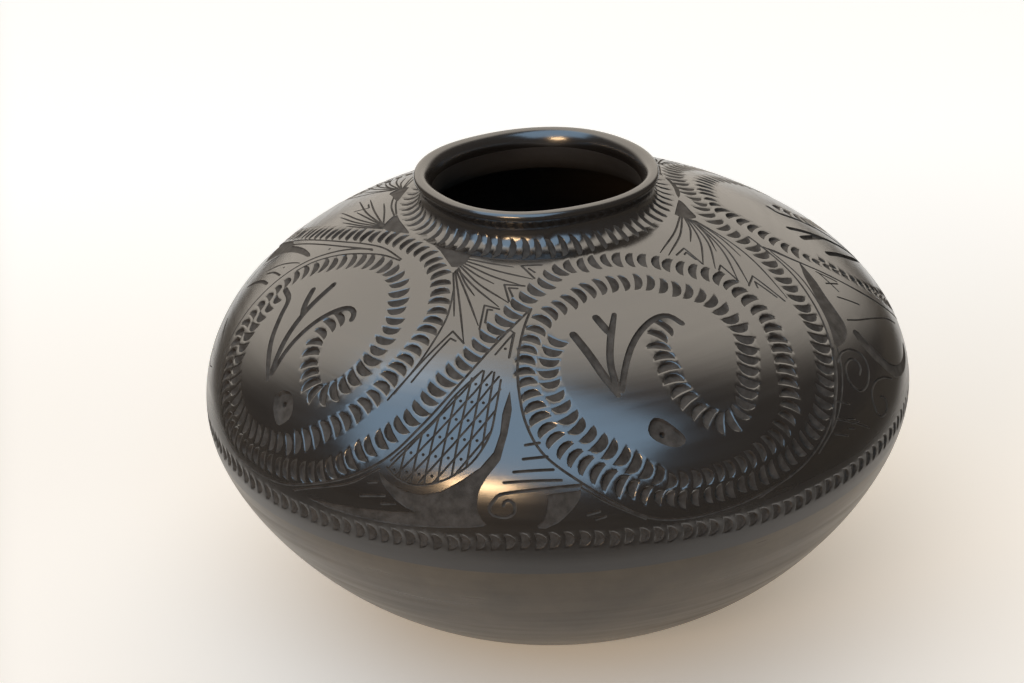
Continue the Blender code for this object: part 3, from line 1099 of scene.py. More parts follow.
CENTRE = Medallion(
    azimuth=22.5,
    head=HEAD_ROW,
    strokes=[
        ([(6.2, 85), (8.5, 76), (10.2, 67), (11.9, 58.5)], STROKE),
        ([(12.2, 60), (12.2, 70), (13.8, 80), (17.3, 91.6)], SLIM_STROKE),
        ([(12.6, 91.5), (13.5, 87.5), (14.3, 83.5)], BRANCH),
        ([(12.8, 60), (15, 69), (18, 77), (22, 83), (26.5, 86.2), (29.8, 85.5), (31.4, 81)], PLUME),
    ],
    eye=[
        (15.2, 44), (16.6, 47.8), (18.2, 46.9), (19.8, 43), (20.9, 38.8), (20.2, 36.4), (18.2, 36.6),
        (15.8, 40.2),
    ],
    pupil=(17.5, 41.6),
)
LEFT = Medallion(
    azimuth=-52.5,
    head=LEFT_HEAD_ROW,
    strokes=[
        ([(-76, 70.5), (-71.2, 69.8), (-68, 63), (-64, 53.5), (-58.2, 42.5)], SLIM_STROKE),
        ([(-63, 87), (-62.5, 72), (-61, 59), (-58.4, 45)], MIDDLE_STROKE),
        ([(-67.3, 79.8), (-64.8, 74), (-62.6, 70)], BRANCH),
        (
            [(-58, 45), (-58.4, 58), (-57.3, 70), (-54.8, 78.5), (-51.8, 82.6), (-49.2, 81.8), (-48.4, 79)],
            PLUME,
        ),
    ],
    eye=[(-54, 38), (-53.2, 42), (-50.6, 43), (-48.8, 39), (-48.5, 34.5), (-50.4, 30.3), (-52.4, 33)],
    pupil=(-51.6, 38),
)


RIGHT = Medallion(
    azimuth=106.5,
    head=RIGHT_HEAD_ROW,
    strokes=[
        ([(89.1, 62.1), (92.9, 55.1), (95.9, 48.4), (100.4, 39.7)], MIDDLE_STROKE),
        ([(92.6, 78.4), (95.5, 70), (97.3, 62.6), (99, 55.6), (100.9, 46.7), (101.8, 39.6)], SLIM_STROKE),
        ([(90.3, 73), (94, 67.6), (97.2, 62)], BRANCH),
        ([(102.2, 40), (103, 50), (103.4, 60), (102.6, 70), (101.4, 79), (103.6, 82.6)], PLUME),
    ],
    eye=[(105, 33), (105.8, 37), (108.4, 38), (110.2, 34), (110.5, 29.5), (108.6, 25.3), (106.6, 28)],
    pupil=(107.4, 33),
)


def medallion_at(azimuth: float, share: float) -> Medallion:
    """A medallion of the centre one's design, moved round the pot and made narrower or wider.

    Args:
        azimuth: where its middle goes.
        share: its width as a share of the centre one's.

    Returns:
        The new medallion.
    """
    middle = CENTRE.azimuth
    return Medallion(
        azimuth=azimuth,
        head=fitted(CENTRE.head, middle, azimuth, share),
        strokes=[(fitted(places, middle, azimuth, share), sizes) for places, sizes in CENTRE.strokes],
        eye=fitted(CENTRE.eye, middle, azimuth, share),
        pupil=fitted([CENTRE.pupil], middle, azimuth, share)[0],
    )


@dataclass
class FanPanel:
    """Fan of lines between two medallions, with the toothed triangles at the gouges."""

    field: Places
    rays: list[Places]
    teeth: list[Places]
    turn: float = 0.0

    def marks(self) -> list[Mark]:
        """The scraped wedge, its rays and the teeth.

        Returns:
            A field and grooves.
        """
        made: list[Mark] = [Field(area(shifted(self.field, self.turn), False), SCRAPED)]
        made += [line(shifted(ray, self.turn), ends=(1.0, 0.5)) for ray in self.rays]
        for tooth in self.teeth:
            made += corners(shifted(tooth, self.turn))
        return made


RIGHT_FAN = FanPanel(
    field=[
        (-46, 123.7), (-27.4, 123.7), (-27.4, 119.7), (-28.6, 116.2), (-31.4, 115.4), (-37, 119.6),
        (-41.5, 122.4),
    ],
    rays=[
        [(-27.8, 122.9), (-8, 123.2), (7, 123.1)], [(-28, 121.4), (-18, 120.6), (-9.4, 119.4)],
        [(-28.1, 120), (-14, 116.6), (-2.6, 112.8)], [(-28.3, 118.8), (-16, 113.8), (-5.4, 109.2)],
        [(-28.6, 117.8), (-21, 113.4), (-14.8, 110)], [(-28.7, 116.8), (-19, 108.8), (-9.4, 100.8)],
        [(-28.9, 115.8), (-24, 109), (-19.5, 103.2)], [(-29, 115), (-20, 107), (-11.9, 98.7)],
        [(-29.2, 114.4), (-21.5, 102.5), (-16.1, 89.4)], [(-29.3, 113.8), (-22.8, 98.5), (-18.4, 81)],
        [(-29.6, 112.8), (-25.4, 102), (-22.9, 92.4)],
    ],
    teeth=[
        [(0.9, 120.4), (-6.6, 120.2), (-2, 113.2)], [(-1.8, 116.4), (-3.9, 118.6)],
        [(-5.1, 109.3), (-11.4, 109.8), (-9.3, 101.6)], [(-7.2, 108), (-9.9, 108.2), (-8.4, 104)],
        [(-11.6, 97.6), (-15.8, 99), (-15.6, 87.8)], [(-13.4, 97), (-14.7, 97.2), (-14.6, 91)],
        [(-18.4, 81), (-21.8, 85.6), (-29.4, 56.2)], [(-20.4, 81.6), (-21.8, 82.4), (-26.8, 62)],
    ],
)
LEFT_FAN = FanPanel(
    field=[
        (71.8, 123.2), (82, 123.7), (87.4, 123.2), (84.2, 121.2), (79.4, 118.6), (75.2, 114.9), (72, 117.2),
        (70.8, 120.6),
    ],
    rays=[
        [(71.6, 121), (58, 118), (44, 113.4)], [(71.6, 120.2), (58, 115.6), (45.4, 110.7)],
        [(71.7, 119.4), (65, 114.8), (57.9, 111)], [(71.7, 118.6), (61, 108.8), (51.5, 100.4)],
        [(71.7, 117.8), (62, 106), (52.9, 96.2)], [(71.8, 117.1), (66, 108.6), (60.2, 101.5)],
        [(71.8, 116.5), (62.5, 100.8), (54.3, 87.2)], [(71.9, 116), (63.5, 98.8), (55.5, 83.2)],
        [(72, 115.5), (68, 103.8), (64.2, 93.8)], [(72.2, 115), (66.6, 93), (60.2, 70.6)],
    ],
    teeth=[
        [(47.7, 109.2), (52.8, 110.2), (51.3, 100.4)], [(50.2, 107.8), (51.6, 108.2), (51.2, 103.6)],
        [(53.2, 94.8), (55.4, 96.1), (54.3, 87.2)], [(55.2, 83.2), (59.3, 85.2), (58.8, 70.4)],
        [(56.6, 80.6), (57.9, 83), (58.1, 73.4)],
    ],
)
BACK_FAN = FanPanel(
    field=[
        (-78, 116.6), (-83, 121.6), (-83.4, 123.6), (-76.8, 123.8), (-62.6, 123.4), (-66, 121.2),
        (-69.3, 119.3), (-74.4, 116.6),
    ],
    rays=[
        [(-78.6, 117.2), (-90, 118.4), (-99, 116.8)], [(-78.4, 117), (-94, 113.6), (-107.6, 107.1)],
        [(-78.2, 116.9), (-95, 110), (-109.8, 100.4)], [(-78, 116.8), (-90, 111), (-99, 104.4)],
        [(-77.8, 116.6), (-92, 106.6), (-104.6, 94.6)], [(-77.2, 116.4), (-90, 106), (-100.6, 96)],
        [(-76.6, 116.3), (-86, 108), (-94.9, 99)], [(-75.8, 116.4), (-84, 108.6), (-90.6, 101.6)],
    ],
    teeth=[[(-103.4, 108.2), (-99.2, 110), (-100.9, 102.6)]],
)
BACK_FAN_ARCS: list[Places] = [
    [(-83.4, 122.4), (-94, 121), (-105.9, 119.6), (-112, 119.4)],
    [(-83.8, 123.3), (-97.1, 122.6), (-108, 122.4)],
]


@dataclass
class BorderLine:
    """The line that frames a leaf, runs under a medallion and rises to the next leaf."""

    places: Places
    inner: Places

    def marks(self) -> list[Mark]:
        """The double line."""
        return [line(self.places, BORDER), line(self.inner)]


CENTRE_BORDER = BorderLine(
    places=[
        (-3.2, 98), (-5.2, 88), (-6.2, 76), (-6, 63.7), (-4.7, 50), (-2, 38.7), (3, 29), (8.5, 19.5),
        (13.6, 12.8), (20, 10.6), (28, 11.4), (36, 14.2), (42, 18.6), (48, 26.2), (54.2, 37.5), (59.8, 50.5),
        (64.6, 62), (70, 76), (76.2, 95),
    ],
    inner=[
        (43, 17.6), (49.2, 25.2), (55.6, 36.6), (61.2, 49.4), (66, 60.8), (70.6, 72.4), (74.6, 86.6),
        (75.8, 78), (77.4, 68), (79.2, 58), (81.6, 46), (85, 34),
    ],
)
LEFT_BORDER = BorderLine(
    places=[
        (-66.5, 107.8), (-73, 102), (-78, 94), (-81.5, 84), (-82.8, 73), (-82.4, 61), (-80.8, 49), (-78, 37),
        (-73.5, 26), (-67.5, 15), (-61, 9.8), (-53, 9.2), (-45, 11.8), (-35, 21), (-27.9, 31.8),
        (-22.8, 45.8), (-17.7, 62.6), (-10.9, 82.6), (-3.2, 98),
    ],
    inner=[(-44, 10.4), (-34, 19.8), (-28.4, 28.4)],
)
RIGHT_BORDER = BorderLine(
    places=[
        (74.4, 88.5), (75.2, 80.2), (76.6, 72.2), (78.4, 63), (80, 54), (82.4, 43.8), (85, 34.4),
        (88.4, 25.4), (93, 16.6), (99, 10.6), (106, 9.8), (114, 12.4), (124, 21), (131.1, 31.8),
        (136.2, 43.6), (140.8, 57), (146, 70),
    ],
    inner=[(115, 11), (125, 19.8), (130.6, 28.4)],
)
OUTLINE_RIGHT: Places = [(-26.6, 106), (-25.2, 98), (-24.6, 90), (-25.6, 78), (-27.4, 66), (-30.2, 53.4)]
FAR_ARM: Places = [
    (88.6, 123.2), (92, 123.9), (99, 123.8), (106, 123.8), (112.5, 123.7), (108, 122.4), (102, 121.9),
    (96, 121.9), (91.6, 122.4),
]
UNDER_CENTRE: list[Places] = [
    [(3.3, 26.6), (6.6, 21.1), (9.4, 17.2), (12.2, 13.3)], [(30.4, 11), (34.2, 13.3), (38, 15.5)],
]
LONG_LEAF: list[Places] = [
    [(-102.4, 69.3), (-91.4, 87.4), (-81.1, 99.2), (-71, 107.7), (-62.5, 111.6), (-51.7, 111.4)],
    [(-51.7, 110.6), (-59.1, 109.2), (-65.5, 105.4), (-73.2, 97.6), (-77, 91), (-79.4, 84.6), (-80.6, 77.5)],
    [(-102.8, 63.7), (-98.1, 73.4), (-88.5, 87.8), (-78.2, 98.6), (-68.4, 106.4), (-65.7, 107.7)],
]
FAR_LEAF: Places = [
    (-104.1, 56.4), (-103.2, 62.3), (-98, 72.5), (-90.9, 81), (-84.6, 84.7), (-83.4, 83.8), (-87.5, 80.6),
    (-92.2, 75.7), (-96.4, 68.9), (-98.9, 61.8), (-100.4, 56),
]
FAR_STROKES: list[tuple[Places, GrooveSizes, tuple[float, float]]] = [
    ([(-93.8, 48.5), (-91.9, 53.7), (-88.5, 59.6), (-85.2, 62.5)], FAR_STROKE, (0.3, 0.9)),
    ([(-89, 37.4), (-86, 35.4), (-83, 33.4)], FAR_STROKE, (0.3, 0.6)),
    ([(-90.9, 61.4), (-88.4, 66), (-84.4, 69.4)], SHORT, (0.5, 1)),
    ([(-92.5, 60.8), (-89.9, 69.3), (-85.9, 76.4), (-83.4, 79.4)], FINE, (0.5, 0.5)),
    ([(-86.2, 25.6), (-86.8, 21.6), (-83.6, 21), (-81.4, 22.8)], FAR_CURL, (1.0, 1.0)),
]
FAR_DOTS: Places = [(-87, 71.4), (-80.9, 93.4)]


def left_leaves() -> list[Mark]:
    """Long leaf over the left medallion, the leaves at its far side and the arcs of the back fan.

    Returns:
        Grooves, a field and two pits.
    """
    made: list[Mark] = [line(places) for places in LONG_LEAF + BACK_FAN_ARCS + [OUTLINE_RIGHT]]
    made.append(Field(area(FAR_LEAF), SCRAPED))
    made += [line(places, sizes, ends=ends) for places, sizes, ends in FAR_STROKES]
    made.append(Pits(FAR_DOTS, FAR_DOT))
    return made


@dataclass
class LeafPanel:
    """A cross-hatched leaf with a scraped crescent beside it and a spiral disc below."""

    turn: float = 0.0

    LEFT_EDGE: ClassVar[Places] = [(-13.2, 70.2), (-17.7, 59.3), (-20.3, 50), (-23.7, 40.2), (-26.7, 32)]
    RIGHT_EDGE: ClassVar[Places] = [
        (-27.2, 29.4), (-25.3, 26.4), (-22.6, 25), (-19.7, 26.2), (-16.6, 29.4), (-13.3, 35.4), (-10.8, 45),
        (-10, 54.8), (-9.4, 66.8),
    ]
    SCRAPED_LEAF: ClassVar[Places] = [
        (-7.6, 62.6), (-7.1, 55), (-7.8, 46), (-8.9, 36.4), (-10.8, 30.8), (-12, 26), (-12.4, 21),
        (-12, 16.4), (-10.7, 13.4), (-13.4, 12.2), (-17.9, 11), (-22.6, 9.9), (-27.5, 9.2), (-32.4, 8.8),
        (-36.9, 8.9), (-41.3, 9.8), (-36.9, 10.8), (-31, 12.5), (-25.8, 14), (-21.8, 15.6), (-23.6, 16.6),
        (-25.3, 18.8), (-26.8, 21.6), (-28, 24.6), (-28.5, 27.4), (-26.9, 24.8), (-24.4, 22.6), (-21.1, 22),
        (-18, 24), (-15, 28.4), (-12, 33.7), (-9.9, 39.6), (-9, 46.6), (-8.8, 54),
    ]
    SCRAPED_CORNER: ClassVar[Places] = [
        (3.2, 25.8), (2.9, 22.6), (1.4, 18.5), (-0.4, 14.8), (-2.5, 12.6), (-3.9, 13), (-2.9, 15),
        (-2.2, 17.9), (-1.9, 21.6), (-1.9, 24.8),
    ]
    VOLUTE: ClassVar[Places] = [
        (3.2, 27.5), (-2.6, 26.7), (-6.2, 25.8), (-8.9, 24.6), (-9.8, 22.5), (-10.4, 20.5), (-10.5, 18.8),
        (-10, 17.5), (-8.9, 16.8), (-7.8, 16.9), (-6.9, 18.2), (-6.7, 20.4), (-7, 22.1), (-7.8, 22.7),
        (-8.3, 22), (-8.4, 20.9),
    ]
    TIP: ClassVar[Places] = [(-11.9, 82.8), (-8.6, 88.6), (-7.2, 86.8), (-8, 76.2)]
    INNER_TIP: ClassVar[Places] = [(-11, 77.2), (-7.4, 86.6), (-8.1, 76)]
    TIP_DOT = [(-9, 79.8)]
    RUNGS: ClassVar[list[Places]] = [
        [(-4.9, 42.2), (-2.6, 43)], [(-5.3, 37.2), (-1.5, 38)], [(-6.8, 32.6), (-0.7, 33.4)],
        [(-8.3, 28.8), (0.4, 29.6)],
    ]
    CUTS: ClassVar[list[Places]] = [
        [(-30, 22.7), (-28.5, 23.6)], [(-31.1, 17.2), (-27, 19.3)], [(-27.4, 16.2), (-25.2, 17.2)],
        [(3.8, 17.1), (5.6, 17.9)], [(5, 15.2), (6.4, 16)],
    ]
    HATCH_STEP = 2.1
    HATCH_LINES = range(-4, 14)
    FIRST_HATCH = ((-30, 26), (-15.5, 70))
    SECOND_HATCH = ((-25, 24), (-23.4, 70))
    PROBES = 160
    HATCH_STOPS = 6
    FEWEST_PROBES = 12
    DOT_CLEARANCE = 1.4

    def _hatching(self) -> list[Mark]:
        """Two families of lines across the leaf, cut off at its outline, and dots between them.

        Returns:
            Grooves and pits.
        """
        outline = area(self.LEFT_EDGE + self.RIGHT_EDGE)
        made: list[Mark] = []
        for low, high in (self.FIRST_HATCH, self.SECOND_HATCH):
            for number in self.HATCH_LINES:
                moved = self.HATCH_STEP * number
                made += self._clipped((low[0] + moved, low[1]), (high[0] + moved, high[1]), outline)
        return made + [Pits(shifted(self._dots(outline), self.turn), HATCH_DOT)]

    def _clipped(self, start: Pair, end: Pair, outline: Array) -> list[Mark]:
        """The part of a line that lies in the leaf.

        Args:
            start: place below the leaf.
            end: place above it.
            outline: plan ring of the leaf.

        Returns:
            One groove, or none where the line misses the leaf or only grazes it.
        """
        places = np.linspace(start, end, self.PROBES)
        within = np.nonzero(inside_ring(PLAN.flat(places), outline))[0]
        if len(within) < self.FEWEST_PROBES:
            return []
        chosen = np.linspace(within[0], within[-1], self.HATCH_STOPS).astype(int)
        stops = [tuple(places[number]) for number in chosen]
        return [Groove(PLAN.flat(shifted(stops, self.turn)), FINE)]

    def _dots(self, outline: Array) -> Places:
        """Centres of the diamonds, where lines half a step further on would cross.

        Args:
            outline: plan ring of the leaf.

        Returns:
            Places that are well inside the leaf.
        """
        (low_a, high_a), (low_b, high_b) = self.FIRST_HATCH, self.SECOND_HATCH
        slope_a = (high_a[0] - low_a[0]) / (high_a[1] - low_a[1])
        slope_b = (high_b[0] - low_b[0]) / (high_b[1] - low_b[1])
        moved = self.HATCH_STEP * (np.array(self.HATCH_LINES[:-1]) + 0.5)
        start_a, start_b = (low_a[0] + moved)[:, None], (low_b[0] + moved)[None, :]
        up = (start_b - start_a - slope_b * low_b[1] + slope_a * low_a[1]) / (slope_a - slope_b)
        places = np.stack([start_a + slope_a * (up - low_a[1]), up], axis=2).reshape(-1, 2)
        flat = PLAN.flat(places)
        edge = nearest_on(flat, outline, np.roll(outline, -1, axis=0))[0]
        kept = places[inside_ring(flat, outline) & (edge > self.DOT_CLEARANCE)]
        return [tuple(place) for place in kept.tolist()]

    def marks(self) -> list[Mark]:
        """Everything in the panel.

        Returns:
            Grooves, fields and pits.
        """
        turn = self.turn
        made: list[Mark] = [
            line(shifted(self.LEFT_EDGE, turn)),
            line(shifted(self.RIGHT_EDGE, turn)),
            Field(area(shifted(self.SCRAPED_LEAF, turn), False), SCRAPED),
            Field(area(shifted(self.SCRAPED_CORNER, turn), False), SCRAPED),
            line(shifted(self.VOLUTE, turn), SPIRAL),
            line(shifted(self.TIP, turn), FINE, False),
        ]
        made += corners(shifted(self.INNER_TIP, turn))
        made.append(Pits(shifted(self.TIP_DOT, turn), DOT))
        made += [line(shifted(rung, turn), SHORT) for rung in self.RUNGS]
        made += self._hatching()
        made += [line(shifted(cut, turn), SHORT) for cut in self.CUTS]
        return made


@dataclass
class ScrollPanel:
    """Two scrolls on a polished ground under a scraped stalk and leaf, with short strokes."""

    turn: float = 0.0

    STALK: ClassVar[Places] = [
        (76.4, 74.6), (74.4, 72.8), (72.2, 71.1), (69.4, 67), (66.6, 61.8), (63.7, 55.6), (61, 50),
        (59.2, 45.6), (62, 44.6), (64.6, 45.6), (66.6, 48.6), (68.2, 54.4), (70, 60.2), (72.4, 65.2),
        (74.4, 69.8),
    ]
    LEAF: ClassVar[Places] = [
        (66.6, 44.6), (68, 44), (68.1, 39.4), (68.5, 33.8), (69.7, 28), (71.8, 22.8), (75, 19.6), (79, 18.4),
        (83.4, 19.2), (81.6, 15.8), (77, 14.8), (72.6, 16.6), (69.4, 20.8), (67.4, 27.4), (66.2, 33),
        (65.9, 38.6),
    ]
    LEAF_TOP: ClassVar[Places] = [(68.4, 48.6), (71.7, 44.5), (77.2, 38.2), (81.6, 32.4), (84.8, 26)]
    STALK_FOOT: ClassVar[Places] = [(58.2, 46), (55, 39.7), (52.1, 34), (49.5, 28.3), (47.1, 22.7)]
    SCROLLS: ClassVar[list[Places]] = [
        [
            (56.8, 41.4), (59.2, 42.8), (61.8, 41.6), (63.6, 38.2), (63.8, 34.1), (62.6, 30.4), (60.2, 27.6),
            (57.9, 27.6), (56.5, 31), (56.6, 35.2), (57.9, 38.2), (60, 39), (61.4, 37.2), (61.2, 33.9),
            (59.8, 32.5),
        ],
        [
            (68.6, 20.6), (66.2, 24), (63.2, 25.8), (60.7, 24.6), (59.5, 20.5), (60.1, 14.8), (62.2, 13.2),
            (63.6, 15.4), (63.5, 18.6), (62.4, 20.2),
        ],
    ]
    STROKES: ClassVar[list[Places]] = [
        [(50.9, 30.6), (53.4, 26.8)], [(49, 25.2), (56.2, 14.2)], [(47.4, 20.9), (50.3, 17.2)],
        [(51.4, 22.8), (53.2, 21)], [(52.2, 20.2), (54, 19.2)], [(51, 19.6), (52.4, 18)],
        [(76.6, 67), (78.2, 58.2)], [(76.8, 66.2), (75, 56.4)], [(74.6, 62), (77.6, 57.6)],
        [(72.8, 56), (76.4, 46.8)],
    ]

    def marks(self) -> list[Mark]:
        """Everything in the panel.

        Returns:
            Fields and grooves.
        """
        turn = self.turn
        made: list[Mark] = [Field(area(shifted(places, turn)), SCRAPED) for places in (self.STALK, self.LEAF)]
        made += [line(shifted(places, turn), CURLED) for places in self.SCROLLS]
        made.append(line(shifted(self.LEAF_TOP, turn)))
        made.append(line(shifted(self.STALK_FOOT, turn), SOFT))
        made += [line(shifted(stroke, turn)) for stroke in self.STROKES]
        return made


@dataclass(frozen=True)
class Ring:
    """A band of gouges all round the pot, a little higher in front."""

    up: float
    gouge: GougeSizes
    pitch: float
    seed: int
    hump: float = 0.0
    hump_spread: float = 21.0

    def marks(self) -> list[Mark]:
        """The band: rise = up + hump * exp(-(azimuth / spread)^2), going round to the left.

        Returns:
            One row of gouges.
        """
        azimuth = np.arange(180.0, -180.0, -1.5)
        up = self.up + self.hump * np.exp(-((azimuth / self.hump_spread) ** 2))
        path = PLAN.flat(np.column_stack([azimuth, up]))
        return [GougeRow(path, self.gouge, self.pitch, self.seed, True)]


BELT = Ring(up=3.2, gouge=BELT_GOUGE, pitch=5.25, seed=31, hump=5.0)
COLLAR = Ring(up=129.7, gouge=COLLAR_GOUGE, pitch=4.9, seed=32)
ROW_PITCH = 4.65
BACK_AZIMUTH = 204.0
BACK_SHARE = 1.12
LEFT_TO_RIGHT = 159.0
CENTRE_TO_BACK = BACK_AZIMUTH - CENTRE.azimuth
BACK_FAN_TURN = CENTRE_TO_BACK - 6.0
BACK_LEAF_TURN = 168.0
BACK_SCROLL_TURN = CENTRE_TO_BACK + 5.0
OVER_RIGHT_START: Places = [(74.6, 102.0), (77.6, 108.6), (82.6, 113.6)]


def gouge_rows(back: Medallion) -> list[GougeRow]:
    """The four rows that wind from each medallion to the next, each gouge kept clear of the others.

    Args:
        back: the medallion on the side away from the viewer.

    Returns:
        The rows, from left to back.
    """
    over_back = fitted(OVER_ROW, CENTRE.azimuth, back.azimuth, BACK_SHARE)
    over_right = OVER_RIGHT_START + shifted(LEFT_OVER_ROW[len(OVER_RIGHT_START) :], LEFT_TO_RIGHT)
    ways = [
        (LEFT.head + OVER_ROW, 21),
        (CENTRE.head[:-1] + over_right, 22),
        (RIGHT.head + over_back, 23),
        (back.head[:-6] + BACK_TO_LEFT + shifted(LEFT_OVER_ROW, 360.0), 24),
    ]
    rows = [GougeRow(spline(PLAN.flat(places)), ROW_GOUGE, ROW_PITCH, seed) for places, seed in ways]
    centres = np.vstack([row.centres for row in rows])
    first = 0
    for row in rows:
        row.make_room(centres, first)
        first += len(row.centres)
    return rows


def design() -> list[Mark]:
    """Everything that is cut into the pot, from left round to the back.

    Returns:
        All the marks.
    """
    back = medallion_at(BACK_AZIMUTH, BACK_SHARE)
    made: list[Mark] = list(gouge_rows(back))
    for medallion in (LEFT, CENTRE, RIGHT, back):
        made += medallion.marks()
    made += RIGHT_FAN.marks() + LEFT_FAN.marks() + BACK_FAN.marks()
    made += FanPanel(RIGHT_FAN.field, RIGHT_FAN.rays, RIGHT_FAN.teeth, LEFT_TO_RIGHT).marks()
    made += FanPanel(LEFT_FAN.field, LEFT_FAN.rays, LEFT_FAN.teeth, BACK_FAN_TURN).marks()
    made += CENTRE_BORDER.marks() + LEFT_BORDER.marks() + RIGHT_BORDER.marks()
    border = (CENTRE_BORDER.places[:-2], CENTRE_BORDER.inner[:5])
    places, inner = (fitted(row, CENTRE.azimuth, back.azimuth, BACK_SHARE) for row in border)
    made += BorderLine(places, inner).marks()
    made += left_leaves()
    made.append(Field(area(FAR_ARM, False), SCRAPED))
    made += [line(places) for places in UNDER_CENTRE]
    made += LeafPanel().marks() + LeafPanel(BACK_LEAF_TURN).marks()
    made += ScrollPanel().marks() + ScrollPanel(BACK_SCROLL_TURN).marks()
    return made + BELT.marks() + COLLAR.marks()


def face_normals(points: Array, faces: Array) -> Array:
    """Normals of triangles, each as long as twice the triangle's area."""
    corner = points[faces]
    return np.cross(corner[:, 1] - corner[:, 0], corner[:, 2] - corner[:, 0])


def one_long(rows: Array) -> Array:
    """Rows of x, y, z divided by their lengths."""
    return rows / np.maximum(np.linalg.norm(rows, axis=1), TINY)[:, None]


def mean_normals(faces: Array, normals: Array, count: int) -> Array:
    """Unit normal at each point: the sum over its triangles, which weighs them by area.

    Args:
        faces: triangles as rows of point numbers.
        normals: each triangle's normal, as long as twice its area.
        count: number of points.

    Returns:
        Rows of x, y, z.
    """
    total = np.zeros((count, 3))
    for corner, axis in np.ndindex(3, 3):
        total[:, axis] += np.bincount(faces[:, corner], normals[:, axis], minlength=count)
    return one_long(total)


def smooth_normals(points: Array, faces: Array) -> Array:
    """Corner normals that are the mean over all triangles at a point."""
    return mean_normals(faces, face_normals(points, faces), len(points))[faces]


def flat_normals(points: Array, faces: Array) -> Array:
    """Corner normals that are each face's own."""
    return np.repeat(one_long(face_normals(points, faces))[:, None, :], 3, axis=1)


class CarvedSkin:
    """The carved outside as triangles, with depth, rawness and shading normals."""

    GROUND_STEP = 3.2
    ROW_RATIO = 0.87
    LOW_MARGIN = 2.5
    HIGH_MARGIN = 1.0
    CELL = 1.1
    CELLS = 290
    MERGE = 5e-3
    JOINT_SLACK = 0.01
    LEAST_AREA = 1e-9
    LEAST_DEPTH = 1e-4
    SOFT_EDGE = math.cos(math.radians(38.0))

    def __init__(self, marks: list[Mark]) -> None:
        """Triangulate the plan with every mark's edges in it.

        Args:
            marks: everything cut into the skin.
        """
        sites = Sites()
        turn = even_turns()
        for level in (JOINTS.bowl, JOINTS.belly, JOINTS.shoulder, JOINTS.neck):
            sites.add(PLAN.flat(np.column_stack([turn, np.full_like(turn, level)])), True)
        for mark in marks:
            mark.lay(sites)
        kept = np.vstack(sites.points)
        points = [Vector(point) for point in np.vstack([kept, self._background(kept)]).tolist()]
        edges = np.vstack(sites.edges).tolist()
        made = geometry.delaunay_2d_cdt(points, edges, [], 0, self.MERGE, False)
        self.points = np.array([tuple(point) for point in made[0]])
        self.faces = self._within(np.array([face for face in made[2] if len(face) == 3]))
        log.info("carved skin: %d points, %d triangles", len(self.points), len(self.faces))
        self._cut(marks)
        self._shape()

    def _background(self, kept: Array) -> Array:
        """Loose points in staggered rows on the open ground, clear of the kept ones.

        Args:
            kept: plan points.

        Returns:
            Plan points.
        """
        rows = []
        low, high = JOINTS.bowl + self.LOW_MARGIN, JOINTS.neck - self.HIGH_MARGIN
        for number, up in enumerate(np.arange(low, high, self.ROW_RATIO * self.GROUND_STEP)):
            count = int(2.0 * math.pi * float(CLAY.outer.radius(up)) / self.GROUND_STEP)
            turn = np.linspace(-180.0, 180.0, count, endpoint=False) + 180.0 / count * (number % 2)
            rows.append(np.column_stack([turn, np.full(count, up)]))
        points = PLAN.flat(np.vstack(rows))
        taken = np.zeros((self.CELLS, self.CELLS), bool)
        column, row = (kept / self.CELL + self.CELLS / 2).astype(int).T
        for right, ahead in np.ndindex(3, 3):
            taken[column + right - 1, row + ahead - 1] = True
        column, row = (points / self.CELL + self.CELLS / 2).astype(int).T
        return points[~taken[column, row]]

    def _within(self, faces: Array) -> Array:
        """Triangles between the first and the last joint, wound to face outwards.

        Args:
            faces: triangles as rows of point numbers.

        Returns:
            The rows that are kept, some turned round.
        """
        up = PLAN.places(self.points[faces].mean(1))[1]
        kept = faces[(up > JOINTS.bowl) & (up < JOINTS.neck)]
        first, second, third = (self.points[kept[:, k]] for k in range(3))
        turned = np.cross(second - first, third - first)
        keep = np.abs(turned) > self.LEAST_AREA
        kept = kept[keep]
        flip = turned[keep] < 0.0
        kept[flip] = kept[flip][:, ::-1]
        return kept

    def _cut(self, marks: list[Mark]) -> None:
        """Depth at the points and rawness of the triangles.

        Args:
            marks: everything cut into the skin.
        """
        at_points = Ground(self.points)
        at_faces = Ground(self.points[self.faces].mean(1))
        for mark in marks:
            mark.cut(at_points)
            mark.cut(at_faces)
        self.depth = at_points.result()[0]
        self.raw = at_faces.result()[1]

    def _shape(self) -> None:
        """Places in space, and a shading normal for each corner of each triangle.

        Uncarved points take the normal of the plain wall. Carved ones take the mean over the
        polished or the raw triangles, apart from raw corners at a sharp edge, which stay flat.
        """
        self.azimuth, self.up = PLAN.places(self.points)
        for level in (JOINTS.bowl, JOINTS.neck):
            self.up = np.where(np.abs(self.up - level) < self.JOINT_SLACK, level, self.up)
        wall_normal = CLAY.outward(self.azimuth, self.up)
        self.places = CLAY.outside(self.azimuth, self.up) - wall_normal * self.depth[:, None]
        flat = face_normals(self.places, self.faces)
        unit = one_long(flat)[:, None, :]
        polished, raw = (
            mean_normals(self.faces[chosen], flat[chosen], len(self.places))[self.faces]
            for chosen in (~self.raw, self.raw)
        )
        soft = (raw * unit).sum(2) > self.SOFT_EDGE
        carved = self.depth[self.faces] > self.LEAST_DEPTH
        raw_corner = np.where(soft[:, :, None], raw, unit)
        polished_corner = np.where(carved[:, :, None], polished, wall_normal[self.faces])
        self.corner_normal = np.where(self.raw[:, None, None], raw_corner, polished_corner)

    def joint(self, level: float) -> tuple[Array, Array]:
        """The ring of points on a joint, from left to right.

        Args:
            level: rise of the joint.

        Returns:
            Azimuths, and rows of x, y, z.
        """
        used = np.unique(self.faces)
        ring = used[self.up[used] == level]
        ring = ring[np.argsort(self.azimuth[ring])]
        return self.azimuth[ring], self.places[ring]


